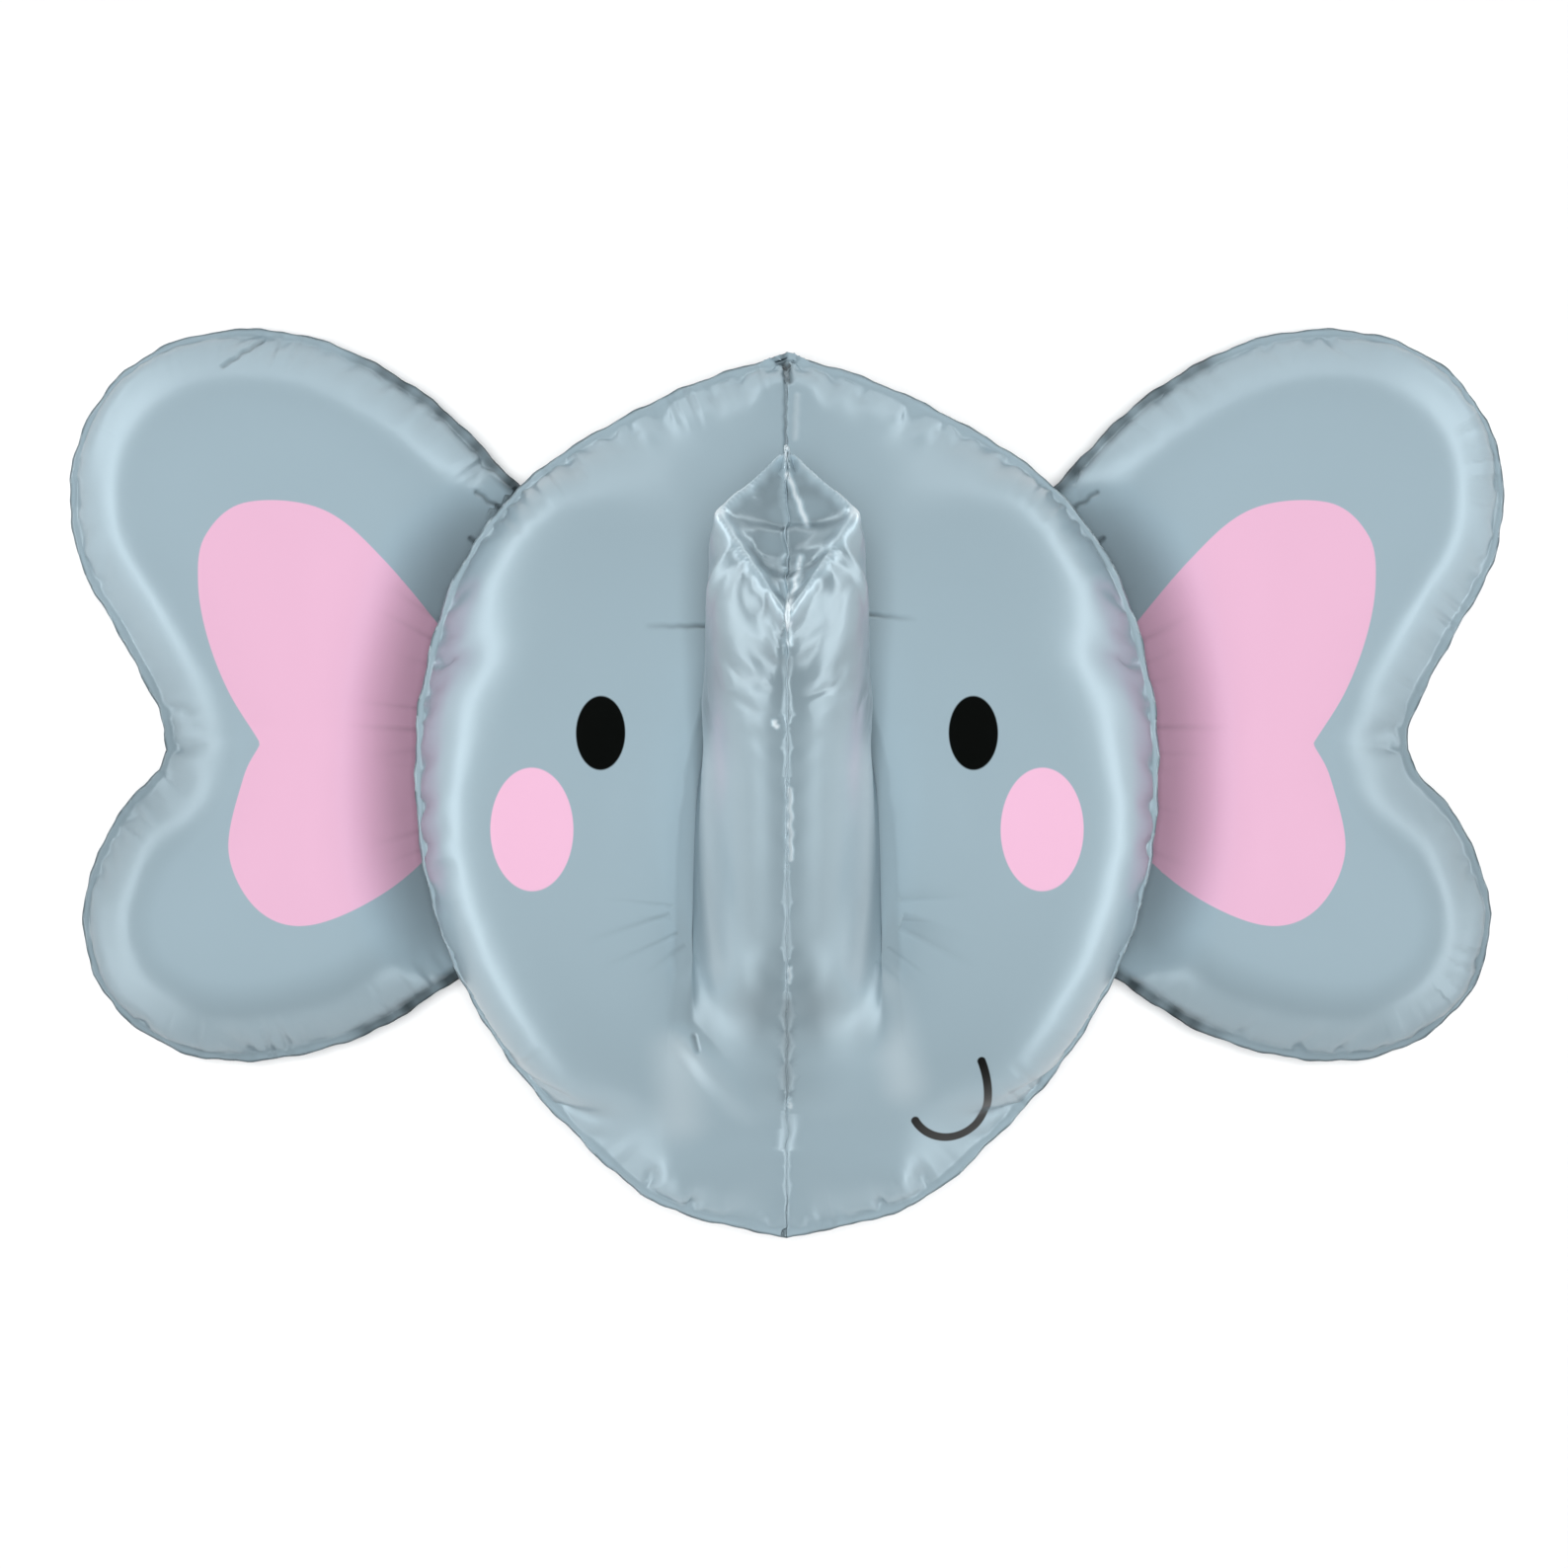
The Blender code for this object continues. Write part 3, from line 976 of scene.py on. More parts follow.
def calm_middle(bag: Bag, outline: np.ndarray, share: np.ndarray | float, rounds: int = 40,
                rim: float = 0.014, reach: float = 0.030) -> None:
    """Smooths a chamber's panels away from their rim, where tight foil shows no folds.

    Args:
        bag: the chamber.
        outline: its welded outline.
        share: how much each point may be smoothed.
        rounds: how many times it is smoothed.
        rim: the width along the outline that keeps all its puckers.
        reach: the width over which the smoothing sets in.
    """
    depth = -distance_to_loop(bag.now[:, :2], outline)[0]
    inner = np.clip((depth - rim) / reach, 0, 1)
    bag.soften(rounds, 0.5 * inner * share)


@dataclass
class HeadChamber:
    """The head with the trunk: two face halves, two back halves and the trunk's two sides."""

    edge: tuple[Point, ...] = (
        (0.0, 0.239), (0.067, 0.215), (0.141, 0.171), (0.184, 0.116), (0.204, 0.050), (0.207, 0.0),
        (0.203, -0.045), (0.189, -0.095), (0.160, -0.148), (0.123, -0.192), (0.071, -0.236), (0.0, -0.255))
    trunk_mouth: tuple[Point, ...] = (
        (0.0, 0.092), (0.018, 0.084), (0.026, 0.060), (0.028, 0.020), (0.028, -0.060), (0.033, -0.110),
        (0.047, -0.140), (0.063, -0.162), (0.065, -0.180), (0.044, -0.198), (0.0, -0.208))
    trunk_back: tuple[Point, ...] = (
        (0.092, 0.0), (0.098, 0.036), (0.120, 0.084), (0.154, 0.122), (0.198, 0.152))
    trunk_front: tuple[Point, ...] = (
        (0.104, 0.246), (0.042, 0.200), (-0.025, 0.147), (-0.090, 0.095), (-0.150, 0.053), (-0.187, 0.024),
        (-0.208, 0.0))
    tip_top: Point = (0.165, 0.230)
    tip_low: Point = (0.079, 0.298)
    tip_half_width: float = 0.0345
    tip_side_share: float = 0.38
    tip_fold: float = 0.028
    tip_recess: float = 0.011
    tip_dip: float = 0.0035
    tip_waver: float = 0.0012
    tip_reach: float = 0.085
    tip_loose: float = 0.060
    seam_height: float = 0.123
    back_fill: float = 1.05
    tight_reach: float = 0.060
    tent_height: float = 0.090
    start_gap: float = 0.0006
    step: float = 0.012
    recipe: Recipe = Recipe(stages=(Stage(15, 0.5), Stage(12, 0.3)), slack=0.24)
    flange: Flange = Flange()
    middle_flange: Flange = Flange(width=0.0028, ripple=0.0006, pitch=0.031)
    eyes: tuple[Oval, ...] = tuple(Oval((x, 0.0255), 0.0132, 0.0198) for x in (-0.0993, 0.0993))
    cheeks: tuple[Oval, ...] = tuple(Oval((x, -0.0260), 0.0227, 0.0330) for x in (-0.1364, 0.1364))
    smile: tuple[Arc, ...] = (
        Arc((0.0888, -0.1755), 0.0213, -150.0, 0.5, 0.0023),
        Arc((0.0470, -0.1755), 0.0631, -0.5, 22.0, 0.0023))
    # The end's lips: raised ridges with painted highlights along them.
    lips: tuple[Fold, ...] = (
        Fold((0.0, 0.165), (0.0345, 0.1323), 0.0070, 0.0010, 0.45, mirrored=True, above=0.28),
        Fold((0.0, 0.079), (0.0345, 0.1323), 0.0064, 0.0010, 0.42, mirrored=True, above=0.28))
    # Painted highlights: glints on the end's facets and along the seam.
    glints: tuple[Fold, ...] = (
        Fold((0.0005, 0.152), (0.0100, 0.1263), 0.0026, 0.0006, 0.85, above=0.28, wobble=0.0003),
        Fold((0.0067, 0.1095), (0.0010, 0.0832), 0.0026, 0.0006, 0.85, above=0.28),
        Fold((0.0010, 0.076), (0.0012, 0.066), 0.0020, 0.0004, 0.6, above=0.28),
        Fold((-0.0060, 0.0290), (-0.0050, 0.0270), 0.0024, 0.0004, 0.9, above=0.26),
        Fold((0.0014, -0.004), (0.0018, -0.040), 0.0020, 0.0004, 0.45, above=0.24),
        Fold((0.0014, -0.098), (0.0010, -0.106), 0.0020, 0.0004, 0.5, above=0.20),
        Fold((0.0014, -0.172), (0.0016, -0.177), 0.0020, 0.0004, 0.5, above=0.14))
    # Creases pulled in beside the trunk, with painted shade along them.
    pulls: tuple[Fold | Fan, ...] = (
        Fold((-0.0400, 0.083), (-0.0740, 0.083), 0.0026, -0.0012, -0.60, fade=0.8, below=0.26, wobble=0.0002),
        Fold((0.0450, 0.0893), (0.0680, 0.0868), 0.0026, -0.0012, -0.50, fade=0.9, below=0.26, wobble=0.0002),
        Fan((0.010, -0.058), -30.0, 24.0, 0.054, 0.092, 13.0, -0.0005, -0.15),
        Fan((0.005, -0.072), 2.0, 12.0, 0.056, 0.086, 16.0, -0.0004, -0.10))
    # The crumple at the crown: creases with painted shade, and one ridge with a painted highlight.
    crown: tuple[Fold, ...] = (
        Fold((-0.003, 0.240), (0.001, 0.222), 0.0040, -0.0015, -0.60),
        Fold((-0.008, 0.236), (-0.001, 0.231), 0.0026, -0.0010, -0.40),
        Fold((0.000, 0.229), (0.006, 0.2355), 0.0022, -0.0008, -0.30),
        Fold((-0.001, 0.222), (-0.001, 0.172), 0.0018, -0.0008, -0.50, wobble=0.0002),
        Fold((0.0055, 0.212), (0.0045, 0.188), 0.0030, 0.0006, 0.14, wobble=0.0002))
    # The trunk's foot: a ridge, patches of painted highlight, and painted shade down its middle and in its
    # hollows.
    foot: tuple[Fold, ...] = (
        Fold((-0.0560, -0.1400), (-0.0200, -0.1810), 0.0120, 0.0018, 0.07, fade=0.7, wobble=0.0),
        Fold((-0.0600, -0.1480), (-0.0580, -0.1850), 0.0220, 0.0, 0.16, wobble=0.0),
        Fold((-0.0500, -0.1380), (-0.0480, -0.1450), 0.0030, -0.0008, -0.45, wobble=0.0),
        Fold((0.0520, -0.1150), (0.0640, -0.1650), 0.0200, 0.0, 0.18, wobble=0.0),
        Fold((0.0, -0.1180), (0.0, -0.1720), 0.0050, 0.0, -0.30, wobble=0.0),
        Fold((0.0, -0.1050), (0.0, -0.1600), 0.0340, 0.0, -0.13, wobble=0.0),
        Fold((0.022, -0.122), (0.042, -0.126), 0.028, 0.0, -0.28, mirrored=True, wobble=0.0))
    foot_calm: float = -0.095
    foot_reach: float = 0.040
    foot_half_width: float = 0.036
    foot_rounds: int = 20
    slim_place: float = -0.045
    slim_reach: float = 0.085
    slim_share: float = 0.12
    slim_rise: float = 0.030
    gloss_end: float = -0.150
    gloss_reach: float = 0.060
    upper_start: float = 0.005
    upper_reach: float = 0.045
    upper_matt: float = 0.85
    crumple_place: float = 0.052
    crumple_reach: float = 0.026
    crumple_share: float = 0.6
    crumple_least: float = 0.05
    band_window: float = 0.012
    # Painted highlight and painted shade in bands down the trunk, lighter where negative, and painted shade
    # over its upper end.
    band_places: tuple[float, ...] = (0.0, 0.40, 0.60, 0.78, 0.90, 1.0)
    band_shades: tuple[float, ...] = (0.08, 0.16, 0.02, -0.20, -0.42, -0.20)
    end_shade: float = 0.32

    def build(self) -> bpy.types.Object:
        """Cuts, welds and blows up the chamber, and dresses it."""
        bag = self.cut_bag()
        bag.blow_up(self.recipe)
        outline = self.outline()
        calm_middle(bag, outline, 1 - bag.tight)
        bag.refine()
        bag.soften(3, 0.5)
        self.slim(bag)
        x, y, z = bag.now.T
        low = np.clip((self.foot_calm - y) / self.foot_reach, 0, 1)
        foot = low * np.clip(2 - np.abs(x) / self.foot_half_width, 0, 1) * (z > 0)
        bag.soften(self.foot_rounds, 0.5 * foot)
        self.fold_tip(bag)
        bag.soften(1, 0.35)
        back = bag.points_of("back +", "back -")
        bag.now[back, 2] = np.maximum(bag.now[back, 2] * self.back_fill, -self.seam_height)
        glossy, crumpled, shade = self.trunk_marks(bag)
        bag.add_flange(("face +", "face -"), ("back +", "back -"), self.flange, sideways_out,
                       Vector((0, 0, 1)))
        bag.add_flange(("face +", "trunk +"), ("face -", "trunk -"), self.middle_flange, upwards_out,
                       Vector((1, 0, 0)))
        rim, along = distance_to_loop(bag.now[:, :2], outline)
        front = bag.front_of(("face +", "face -"), ("back +", "back -"))
        more = (0, len(bag.now) - len(glossy))
        marks = {"rim": rim, "along": along, "front": front, "shade": np.pad(shade, more),
                 "glossy": np.pad(glossy, more), "crumpled": np.pad(crumpled, more)}
        folds = (*self.lips, *self.glints, *self.pulls, *self.crown, *self.foot)
        piece = bag.mesh("head_foil", self.seam_height, marks, folds)
        prints = (Ink(PINK, self.cheeks), Ink(BLACK, (*self.eyes, *self.smile)))
        piece.data.materials.append(FoilFinish().material("grey_foil_with_face", prints))
        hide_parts("head_and_trunk")
        return piece

    def outline(self) -> np.ndarray:
        """Gives the welded outline, inside the flange, all the way round."""
        half = smooth_run(self.edge)
        whole = np.vstack([half[::-1][:-1], (half * (-1, 1))[:-1]])
        return inset_loop(whole, self.flange.width)

    def cut_bag(self) -> Bag:
        """Cuts the six panels, lays them in place and welds them."""
        step = self.step
        outline = self.outline()
        right = outline[outline[:, 0] >= -1e-9]
        right = right[np.argsort(-right[:, 1])]
        right[0, 0] = right[-1, 0] = 0.0
        half = even_run(right, step)
        root_top, root_low = self.trunk_mouth[0][1], self.trunk_mouth[-1][1]
        upper = even_run([(0, half[0, 1]), (0, root_top)], step)
        lower = even_run([(0, root_low), (0, half[-1, 1])], step)
        mouth = even_run(smooth_run(self.trunk_mouth), step)
        middle = even_run([(0, half[0, 1]), (0, half[-1, 1])], step)
        back_line = even_run(smooth_run(self.trunk_back), step)
        front_line = even_run(smooth_run(self.trunk_front), step)
        tip = even_run([self.trunk_back[-1], self.trunk_front[0]], step)
        foot = np.column_stack([mouth[:, 1], np.zeros(len(mouth))])
        face = Sheet.cut(np.vstack([upper[:-1], mouth[:-1], lower[:-1], half[::-1][:-1]]), step)
        back = Sheet.cut(np.vstack([middle[:-1], half[::-1][:-1]]), step)
        trunk = Sheet.cut(np.vstack([back_line[:-1], tip[:-1], front_line[:-1], foot[::-1][:-1]]), step,
                          even_run(self.fold_line(), step))
        spread = self.tent(trunk.points, mouth)
        bag = Bag()
        gap = self.start_gap
        for sign, mark in ((1, "+"), (-1, "-")):
            turn = slice(None) if sign > 0 else slice(None, None, -1)
            flat_face, flat_back = (
                np.column_stack([sheet.points * (sign, 1), np.full(len(sheet.points), level)])
                for sheet, level in ((face, gap), (back, -gap)))
            raised = np.column_stack([sign * (spread + gap), trunk.points])
            bag.lay("face " + mark, flat_face, face.faces[:, turn])
            bag.lay("back " + mark, flat_back, back.faces[:, turn][:, ::-1])
            bag.lay("trunk " + mark, raised, trunk.faces[:, turn])
        for mark in "+-":
            bag.weld("face " + mark, face.at(half), "back " + mark, back.at(half))
            bag.weld("face " + mark, face.at(mouth), "trunk " + mark, trunk.at(foot))
        for line in (upper, lower):
            bag.weld("face +", face.at(line), "face -", face.at(line))
        bag.weld("back +", back.at(middle), "back -", back.at(middle))
        for line in (back_line, tip, front_line):
            bag.weld("trunk +", trunk.at(line), "trunk -", trunk.at(line))
        bag.close()
        rim = bag.seam_between(("face +", "face -"), ("back +", "back -"))[0]
        bag.held[rim] = 1.0
        bag.tight = self.tightness(bag, mouth)
        return bag

    def from_tip(self, pattern: np.ndarray) -> tuple[np.ndarray, np.ndarray]:
        """Measures points of a trunk side from its end seam.

        Args:
            pattern: the points as cut, as Y and height.

        Returns:
            How far each lies behind the end seam, and its share of the way across from the
            seam's back corner to its front one.
        """
        start, end = np.array(self.trunk_back[-1]), np.array(self.trunk_front[0])
        length = float(np.linalg.norm(end - start))
        way = (end - start) / length
        off = pattern - start
        return off @ np.array([-way[1], way[0]]), off @ way / length

    def fold_line(self) -> list[Point]:
        """Gives the fold across a trunk side, round the end's facet, in the side's own plane."""
        start, end = np.array(self.trunk_back[-1]), np.array(self.trunk_front[0])
        way = (end - start) / np.linalg.norm(end - start)
        corner = start + (end - start) * self.tip_side_share + np.array([-way[1], way[0]]) * self.tip_fold
        return [tuple(start), tuple(corner), tuple(end)]

    def fold_tip(self, bag: Bag) -> None:
        """Folds the trunk's end into its diamond: four lips round a sunk and creased seam."""
        top, low = np.array([0, *self.tip_top]), np.array([0, *self.tip_low])
        along = low - top
        out = np.array([0, -along[2], along[1]]) / -np.linalg.norm(along)
        share_at = [0, self.tip_side_share, 1]
        for mark, sign in (("+", 1), ("-", -1)):
            ids = bag.points_of("trunk " + mark)
            behind, share = self.from_tip(bag.flat[ids, 1:])
            share = np.clip(share, 0, 1)
            fold = np.interp(share, share_at, [0, self.tip_fold, 0])
            side = top + along * self.tip_side_share + (sign * self.tip_half_width, 0, 0)
            lips = np.column_stack([np.interp(share, share_at, [top[k], side[k], low[k]]) for k in range(3)])
            wave = np.sin(share * 23.0 + 0.6) + 0.6 * np.sin(share * 41.0 + sign)
            sunk = self.tip_recess * np.sin(math.pi * share) ** 0.7 * (1 + 0.22 * wave)
            seam = top + along * share[:, None] - out * sunk[:, None]
            seam[:, 0] += self.tip_waver * wave * np.sin(math.pi * share)
            here = np.clip(behind / np.maximum(fold, 1e-6), 0, 1)
            dip = self.tip_dip * np.sin(math.pi * here) * np.sin(math.pi * share)
            dip *= 1 + 0.5 * np.sin(share * 17 + 2 * sign)
            facet = seam + (lips - seam) * here[:, None] - out * dip[:, None]
            on_fold = np.abs(behind - fold) < 1e-4
            order = np.argsort(share[on_fold])
            shift = (lips - bag.now[ids])[on_fold][order]
            at = share[on_fold][order]
            carry = np.column_stack([np.interp(share, at, shift[:, k]) for k in range(3)])
            fade = eased(1 - (behind - fold) / self.tip_reach)
            moved = bag.now[ids] + carry * fade[:, None]
            bag.now[ids] = np.where((behind <= fold + 1e-5)[:, None], facet, moved)

    def slim(self, bag: Bag) -> None:
        """Draws the trunk's sides in where they bulge most."""
        ids = bag.points_of("trunk +", "trunk -")
        bulge = np.clip(1 - ((bag.now[ids, 1] - self.slim_place) / self.slim_reach) ** 2, 0, 1)
        bag.now[ids, 0] *= 1 - self.slim_share * bulge * np.clip(bag.flat[ids, 2] / self.slim_rise, 0, 1)

    def trunk_marks(self, bag: Bag) -> tuple[np.ndarray, np.ndarray, np.ndarray]:
        """Gives how much each point's foil shines, is crumpled and gets painted shade, or painted highlight
        where the shade is negative.

        Bands of painted shade and painted highlight run down the trunk, and painted shade covers its
        upper end: band_shades holds the bands at band_places, which are shares of the way from the
        middle to the side as seen from above.
        """
        glossy, crumpled, shade = np.zeros((3, len(bag.now)))
        ids = bag.points_of("trunk +", "trunk -")
        x, y = np.abs(bag.now[ids, 0]), bag.now[ids, 1]
        rise = bag.flat[ids, 2] / self.slim_rise
        upper = np.clip((y - self.upper_start) / self.upper_reach, 0, 1)
        glossy[ids] = np.clip((y - self.gloss_end) / self.gloss_reach, 0, 1) * (1 - self.upper_matt * upper)
        stations = np.linspace(y[rise > 1].min(), y[rise > 1].max(), 30)
        widest = [x[(rise > 1) & (np.abs(y - station) < self.band_window)].max() for station in stations]
        share = x / np.maximum(np.interp(y, stations, widest), 0.01)
        fade = np.clip((y - self.gloss_end) / 0.050, 0, 1) * np.clip(rise - 0.5, 0, 1)
        banded = np.interp(share, self.band_places, self.band_shades) * fade
        shade[ids] = banded * (1 - upper) + self.end_shade * upper
        behind, _ = self.from_tip(bag.flat[ids, 1:])
        facet = np.clip(1.5 - behind / self.tip_fold, 0, 1)
        below = self.crumple_share * np.exp(-((y - self.crumple_place) / self.crumple_reach) ** 2)
        crumpled[ids] = np.maximum(facet, np.maximum(below, self.crumple_least))
        return glossy, crumpled, shade

    def tent(self, points: np.ndarray, mouth: np.ndarray) -> np.ndarray:
        """Spreads the trunk's sides like a tent, so that they start from the mouth in the face.

        Args:
            points: the trunk side's points, as Y and height.
            mouth: the mouth's edge, as X and Y.

        Returns:
            How far each point starts from the middle.
        """
        belly = np.array(self.trunk_front)[::-1]
        top = np.interp(points[:, 0], belly[:, 0], belly[:, 1])
        wide = np.interp(points[:, 0], mouth[::-1, 1], mouth[::-1, 0])
        share = np.clip(1 - points[:, 1] / np.clip(top, 0.001, self.tent_height), 0, 1)
        return np.where(points[:, 0] > self.trunk_mouth[0][1], 0, wide * share)

    def tightness(self, bag: Bag, mouth: np.ndarray) -> np.ndarray:
        """Gives 1 on the trunk, which has no slack, fading out on the face around it."""
        x, y = np.abs(bag.now[:, 0]), bag.now[:, 1]
        top, low = self.trunk_mouth[0][1], self.trunk_mouth[-1][1]
        wide = np.where((y > low) & (y < top), np.interp(y, mouth[::-1, 1], mouth[::-1, 0]), 0)
        away = np.hypot(np.maximum(x - wide, 0), np.maximum(np.maximum(y - top, low - y), 0))
        share = np.clip(1 - away / self.tight_reach, 0, 1)
        share[bag.points_of("back +", "back -")] = 0
        trunk = bag.points_of("trunk +", "trunk -")
        behind, _ = self.from_tip(bag.flat[trunk, 1:])
        share[trunk] = np.clip(behind / self.tip_loose, 0.4, 1)
        return eased(share)


def sideways_out(places: np.ndarray, way: np.ndarray) -> np.ndarray:
    """Points out of a level seam that runs round a chamber, away from what it encloses."""
    out = np.column_stack([way[:, 1], -way[:, 0], np.zeros(len(way))])
    area = np.sum(places[:, 0] * np.roll(places[:, 1], -1) - places[:, 1] * np.roll(places[:, 0], -1))
    return out * (1 if area > 0 else -1) / np.linalg.norm(out, axis=1)[:, None]


def upwards_out(places: np.ndarray, way: np.ndarray) -> np.ndarray:
    """Points out of the upright seam over the face and the trunk, away from the air inside."""
    out = np.column_stack([np.zeros(len(way)), -way[:, 2], way[:, 1]])
    if out[0, 2] < 0:
        out = -out
    return out / np.linalg.norm(out, axis=1)[:, None]


@dataclass
class EarChamber:
    """An ear: a front and a back panel of one outline, its root tucked behind the head.

    The outline is the right ear's, and the left ear mirrors it.
    """

    side: Side
    head: HeadChamber
    edge: tuple[Point, ...] = (
        (0.152, 0.168), (0.205, 0.220), (0.268, 0.253), (0.330, 0.257), (0.380, 0.234), (0.408, 0.187),
        (0.406, 0.130), (0.380, 0.080), (0.358, 0.036), (0.358, 0.010), (0.386, -0.024), (0.403, -0.075),
        (0.390, -0.123), (0.350, -0.154), (0.300, -0.160), (0.240, -0.145), (0.186, -0.112))
    root_inset: float = 0.88
    seam_height: float = 0.062
    head_gap: float = 0.0015
    start_gap: float = 0.0006
    step: float = 0.012
    recipe: Recipe = Recipe(stages=(Stage(15, 0.5), Stage(10, 0.3)), slack=0.15)
    flange: Flange = Flange()
    profile: tuple[Point, ...] = (
        (0.0, 0.0), (0.008, 0.0130), (0.016, 0.0235), (0.024, 0.0325), (0.032, 0.0395), (0.042, 0.0450),
        (0.060, 0.0500), (0.100, 0.0550), (0.140, 0.0565))
    profile_share: float = 0.85
    waist: Point = (0.350, 0.022)
    waist_reach: float = 0.055
    waist_loss: float = 0.85
    root_dip: float = 1.25
    root_reach: float = 0.048
    # Painted shade: towards the head's crevice, along the rim, over the lower ring and along the ragged inner
    # edge.
    root_shade: float = 0.42
    rim_shade: float = 0.10
    rim_reach: float = 0.018
    ring_shade: float = 0.20
    ring_reach: float = 0.020
    edge_shade: float = 0.70
    edge_reach: float = 0.005
    edge_end: float = 0.255
    pink_top: tuple[Point, ...] = (
        (0.185, 0.070), (0.225, 0.123), (0.260, 0.152), (0.303, 0.1555), (0.3256, 0.137), (0.330, 0.111),
        (0.3256, 0.081), (0.314, 0.050), (0.2957, 0.021))
    pink_low: tuple[Point, ...] = (
        (0.2957, 0.021), (0.3057, 0.0011), (0.3129, -0.0398), (0.2957, -0.0724), (0.2664, -0.0807),
        (0.2239, -0.0608), (0.185, -0.020))
    # Painted light: the head's foil made a shade lighter, for the light that the lower ears lose.
    foil: Colour = (0.322, 0.424, 0.481)
    # Creases pressed into the ear, with painted shade along them.
    folds: tuple[Fold | Fan, ...] = (
        Fan((0.100, 0.028), 24.0, 42.0, 0.095, 0.138, 20.0, -0.0006, -0.14),
        Fan((0.100, 0.006), -26.0, 32.0, 0.095, 0.130, 22.0, -0.0005, -0.12),
        Fold((-0.319, 0.2346), (-0.2996, 0.2510), 0.0024, -0.0010, -0.35),
        Fold((0.168, 0.130), (0.180, 0.138), 0.0026, -0.0012, -0.45, mirrored=True),
        Fold((0.163, 0.155), (0.176, 0.164), 0.0024, -0.0010, -0.40, mirrored=True))

    def build(self, head: bpy.types.Object) -> bpy.types.Object:
        """Cuts, welds and blows up the ear, tucks it under the head and dresses it.

        Args:
            head: the finished head, which the ear stays clear of.

        Returns:
            The ear.
        """
        outline = self.outline()
        bag = self.cut_bag(outline)
        bag.blow_up(self.recipe)
        self.plump(bag, outline)
        calm_middle(bag, outline, 1.0, 12)
        bag.refine()
        bag.soften(3, 0.5)
        bag.add_flange(("front",), ("back",), self.flange, sideways_out, Vector((0, 0, 1)))
        self.tuck(bag, head)
        rim, along = distance_to_loop(bag.now[:, :2], outline)
        front = bag.front_of(("front",), ("back",))
        pink = np.vstack([smooth_run(self.pink_top), smooth_run(self.pink_low)]) * (self.side.value, 1)
        none = np.zeros(len(bag.now))
        marks = {"rim": rim, "along": along, "front": front, "glossy": none, "crumpled": none,
                 "shade": self.shading(bag, rim, along), "pink": distance_to_loop(bag.now[:, :2], pink)[0]}
        name = self.side.name.lower()
        piece = bag.mesh("ear_foil_" + name, self.seam_height, marks, self.folds)
        prints = (Ink(PINK, (Lobe("pink"),)),)
        material = FoilFinish(base=self.foil).material("grey_foil_with_pink_ear_" + name, prints)
        piece.data.materials.append(material)
        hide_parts("ear_" + name)
        return piece

    def outline(self) -> np.ndarray:
        """Gives the ear's welded outline with its root along the head's edge."""
        shoulder = smooth_run(self.edge)
        rim = smooth_run(self.head.edge) * self.root_inset
        first, last = (int(np.argmin(np.linalg.norm(rim - end * self.root_inset, axis=1)))
                       for end in (shoulder[0], shoulder[-1]))
        loop = even_run(np.vstack([shoulder, rim[first:last + 1][::-1], shoulder[:1]]), self.step)[:-1]
        area = np.sum(loop[:, 0] * np.roll(loop[:, 1], -1) - loop[:, 1] * np.roll(loop[:, 0], -1))
        loop = loop if area > 0 else loop[::-1]
        loop = inset_loop(loop, self.flange.width)
        return loop if self.side is Side.RIGHT else (loop * (-1, 1))[::-1]

    def cut_bag(self, outline: np.ndarray) -> Bag:
        """Cuts the front and back panels and welds them all round."""
        sheet = Sheet.cut(outline, self.step)
        level = np.full(len(sheet.points), self.start_gap)
        bag = Bag()
        bag.lay("front", np.column_stack([sheet.points, level]), sheet.faces)
        bag.lay("back", np.column_stack([sheet.points, -level]), sheet.faces[:, ::-1])
        rim = sheet.at(outline)
        bag.weld("front", rim, "back", rim)
        bag.close()
        bag.held[bag.seam_between(("front",), ("back",))[0]] = 1.0
        return bag

    def shading(self, bag: Bag, rim: np.ndarray, along: np.ndarray) -> np.ndarray:
        """Gives how much painted shade darkens each point.

        The painted shade stands for the shadow in the crevice towards the head, darkens a little
        along the rim and in the lower half, where less light is mirrored, and is darkest along the
        ragged inner edge, where the flange's shadow falls.

        Args:
            bag: the ear.
            rim: each point's distance to the outline, negative inside.
            along: the length run along the outline.

        Returns:
            The shading, 0 where there is none.
        """
        root = self.near_root(bag)
        low = np.clip((0.09 - bag.now[:, 1]) / 0.06, 0, 1) * np.clip(2.2 + rim / self.ring_reach, 0, 1)
        inner = np.clip((self.edge_end - np.abs(bag.now[:, 0])) / 0.020, 0, 1)
        ragged = 0.7 + 0.3 * np.sin(along * 330) * np.sin(along * 127)
        return (self.root_shade * root ** 2
                + self.rim_shade * np.clip(1 + rim / self.rim_reach, 0, 1)
                + self.ring_shade * low * (1 - root)
                + self.edge_shade * inner * ragged * np.clip(1 + rim / self.edge_reach, 0, 1))

    def plump(self, bag: Bag, outline: np.ndarray) -> None:
        """Rounds the ear's shoulders, and flattens its front where it is sealed to the head."""
        depth = -distance_to_loop(bag.now[:, :2], outline)[0]
        height = np.interp(depth, *smooth_run(self.profile).T)
        off = np.hypot(*(bag.now[:, :2] * (self.side.value, 1) - self.waist).T)
        share = self.profile_share * np.clip(depth / 0.020, 0, 1)
        share *= 1 - self.waist_loss * np.exp(-(off / self.waist_reach) ** 2)
        z = bag.now[:, 2]
        bag.now[:, 2] = z + (np.sign(z) * height - z) * share
        front = bag.points_of("front")
        bag.now[front, 2] *= 1 - self.root_dip * (self.near_root(bag) ** 2)[front]

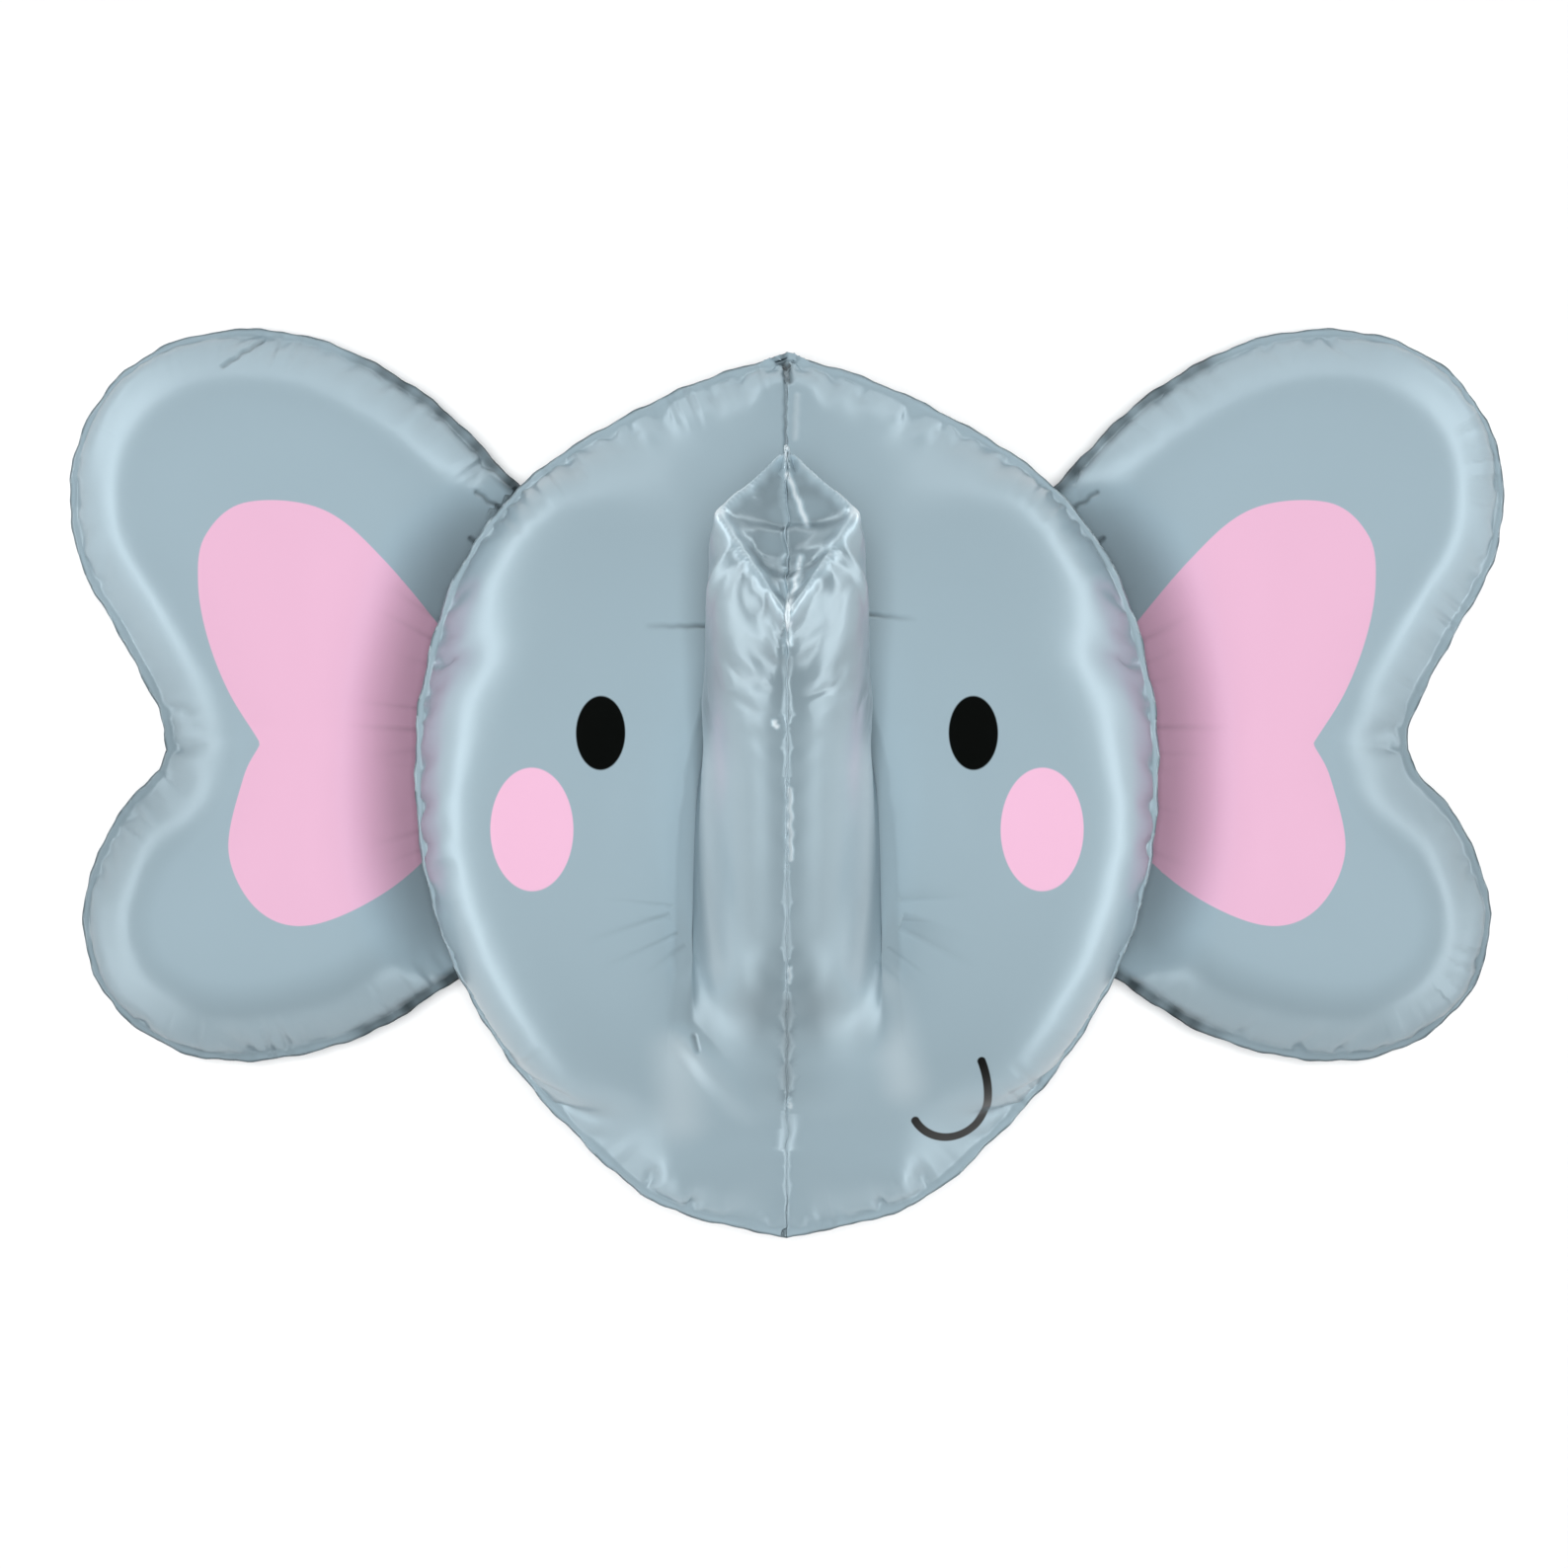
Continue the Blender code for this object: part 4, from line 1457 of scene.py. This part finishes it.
    def near_root(self, bag: Bag) -> np.ndarray:
        """Gives how near each point is to the head, seen from above: 1 at its edge and inside it."""
        away = distance_to_loop(bag.now[:, :2] * (self.side.value, 1), smooth_run(self.head.edge))[0]
        return np.clip(1 - away / self.root_reach, 0, 1)

    def tuck(self, bag: Bag, head: bpy.types.Object) -> None:
        """Presses the ear's root down where it would run into the head's back."""
        tree = BVHTree.FromPolygons([v.co for v in head.data.vertices],
                                    [p.vertices for p in head.data.polygons])
        head_side = max(x for x, _ in self.head.edge)
        for i in np.nonzero(np.abs(bag.now[:, 0]) < head_side)[0]:
            x, y, z = bag.now[i]
            under = tree.ray_cast(Vector((x, y, -1.0)), Vector((0, 0, 1)))[0]
            if under is not None:
                ceiling = under.z - self.seam_height - self.head_gap
                bag.now[i, 2] = min(z, ceiling)


@dataclass(frozen=True)
class Studio:
    """Pale floor, soft lights round the balloon and the camera above it."""

    camera_place: tuple[float, float, float] = (-0.0016, -0.0017, 2.323)
    lens: float = 90.7
    floor_size: float = 5.0
    floor_colour: Colour = (0.72, 0.72, 0.72)
    key_power: float = 350.0
    key_size: float = 1.0
    key_height: float = 5.0
    sky_strength: float = 0.08
    side_strength: float = 5.8
    top_strength: float = 2.0
    bottom_strength: float = 0.4
    band_heights: tuple[float, float] = (0.02, 0.11)

    def build(self) -> None:
        """Makes the camera, the floor, the lights and the sky."""
        self.camera()
        self.floor()
        self.lights()
        self.sky()
        bpy.context.scene.view_settings.view_transform = "Standard"

    def camera(self) -> None:
        """Hangs the camera over the face, looking straight down."""
        lens = bpy.data.cameras.new("camera")
        lens.lens = self.lens
        camera = bpy.data.objects.new("camera", lens)
        camera.location = self.camera_place
        bpy.context.scene.collection.objects.link(camera)
        bpy.context.scene.camera = camera

    def floor(self) -> None:
        """Lays the floor that the balloon lies on."""
        bpy.ops.object.select_all(action="DESELECT")
        bpy.ops.mesh.primitive_plane_add(size=self.floor_size)
        floor = bpy.context.active_object
        floor.name = "floor"
        material = bpy.data.materials.new("floor_paint")
        material.use_nodes = True
        shader = material.node_tree.nodes["Principled BSDF"]
        shader.inputs["Base Color"].default_value = (*self.floor_colour, 1)
        shader.inputs["Roughness"].default_value = 0.9
        floor.data.materials.append(material)

    def lights(self) -> None:
        """Hangs a soft light over the balloon, which the foil does not mirror."""
        light = bpy.data.lights.new("overhead", "AREA")
        light.size, light.energy = self.key_size, self.key_power
        box = bpy.data.objects.new("overhead", light)
        box.location = (0, 0, self.key_height)
        box.visible_camera = box.visible_glossy = False
        bpy.context.scene.collection.objects.link(box)

    def sky(self) -> None:
        """Lights the scene from a plain sky with a bright band just over the floor.

        The band is strongest on the left and right and weakest below the face, and it fades
        out between band_heights, which are heights on a sky of radius 1.
        """
        world = bpy.data.worlds.new("studio")
        world.use_nodes = True
        bpy.context.scene.world = world
        wires = Wires(world.node_tree)
        parts = wires.node("ShaderNodeSeparateXYZ")
        where = wires.node("ShaderNodeTexCoord")
        world.node_tree.links.new(where.outputs["Generated"], parts.inputs[0])
        x, y, z = parts.outputs[:3]
        ends = wires.between(wires.ramp(y, -0.3, 0.6), self.bottom_strength, self.top_strength)
        band = wires.between(wires.ramp(wires.math("ABSOLUTE", x), 0.3, 0.8), ends, self.side_strength)
        strength = wires.between(wires.ramp(z, *self.band_heights), band, self.sky_strength)
        background = world.node_tree.nodes["Background"]
        background.inputs["Color"].default_value = (1, 1, 1, 1)
        wires.feed(background.inputs["Strength"], strength)


def report(piece: bpy.types.Object) -> None:
    """Rides a finished piece on the balloon and logs it.

    Args:
        piece: the piece.
    """
    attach(piece, "root")
    low = np.array([v.co[:] for v in piece.data.vertices]).min(0).round(4)
    high = np.array([v.co[:] for v in piece.data.vertices]).max(0).round(4)
    LOG.info("%s: %d triangles, from %s to %s", piece.name, len(piece.data.polygons), low, high)


def main() -> None:
    """Builds the balloon, the studio and the camera."""
    logging.basicConfig(level=logging.INFO, format="%(asctime)s %(message)s")
    Studio().build()
    chamber = HeadChamber()
    head = chamber.build()
    report(head)
    for side in Side:
        ear = EarChamber(side, chamber).build(head)
        report(ear)


if __name__ == "__main__":
    main()
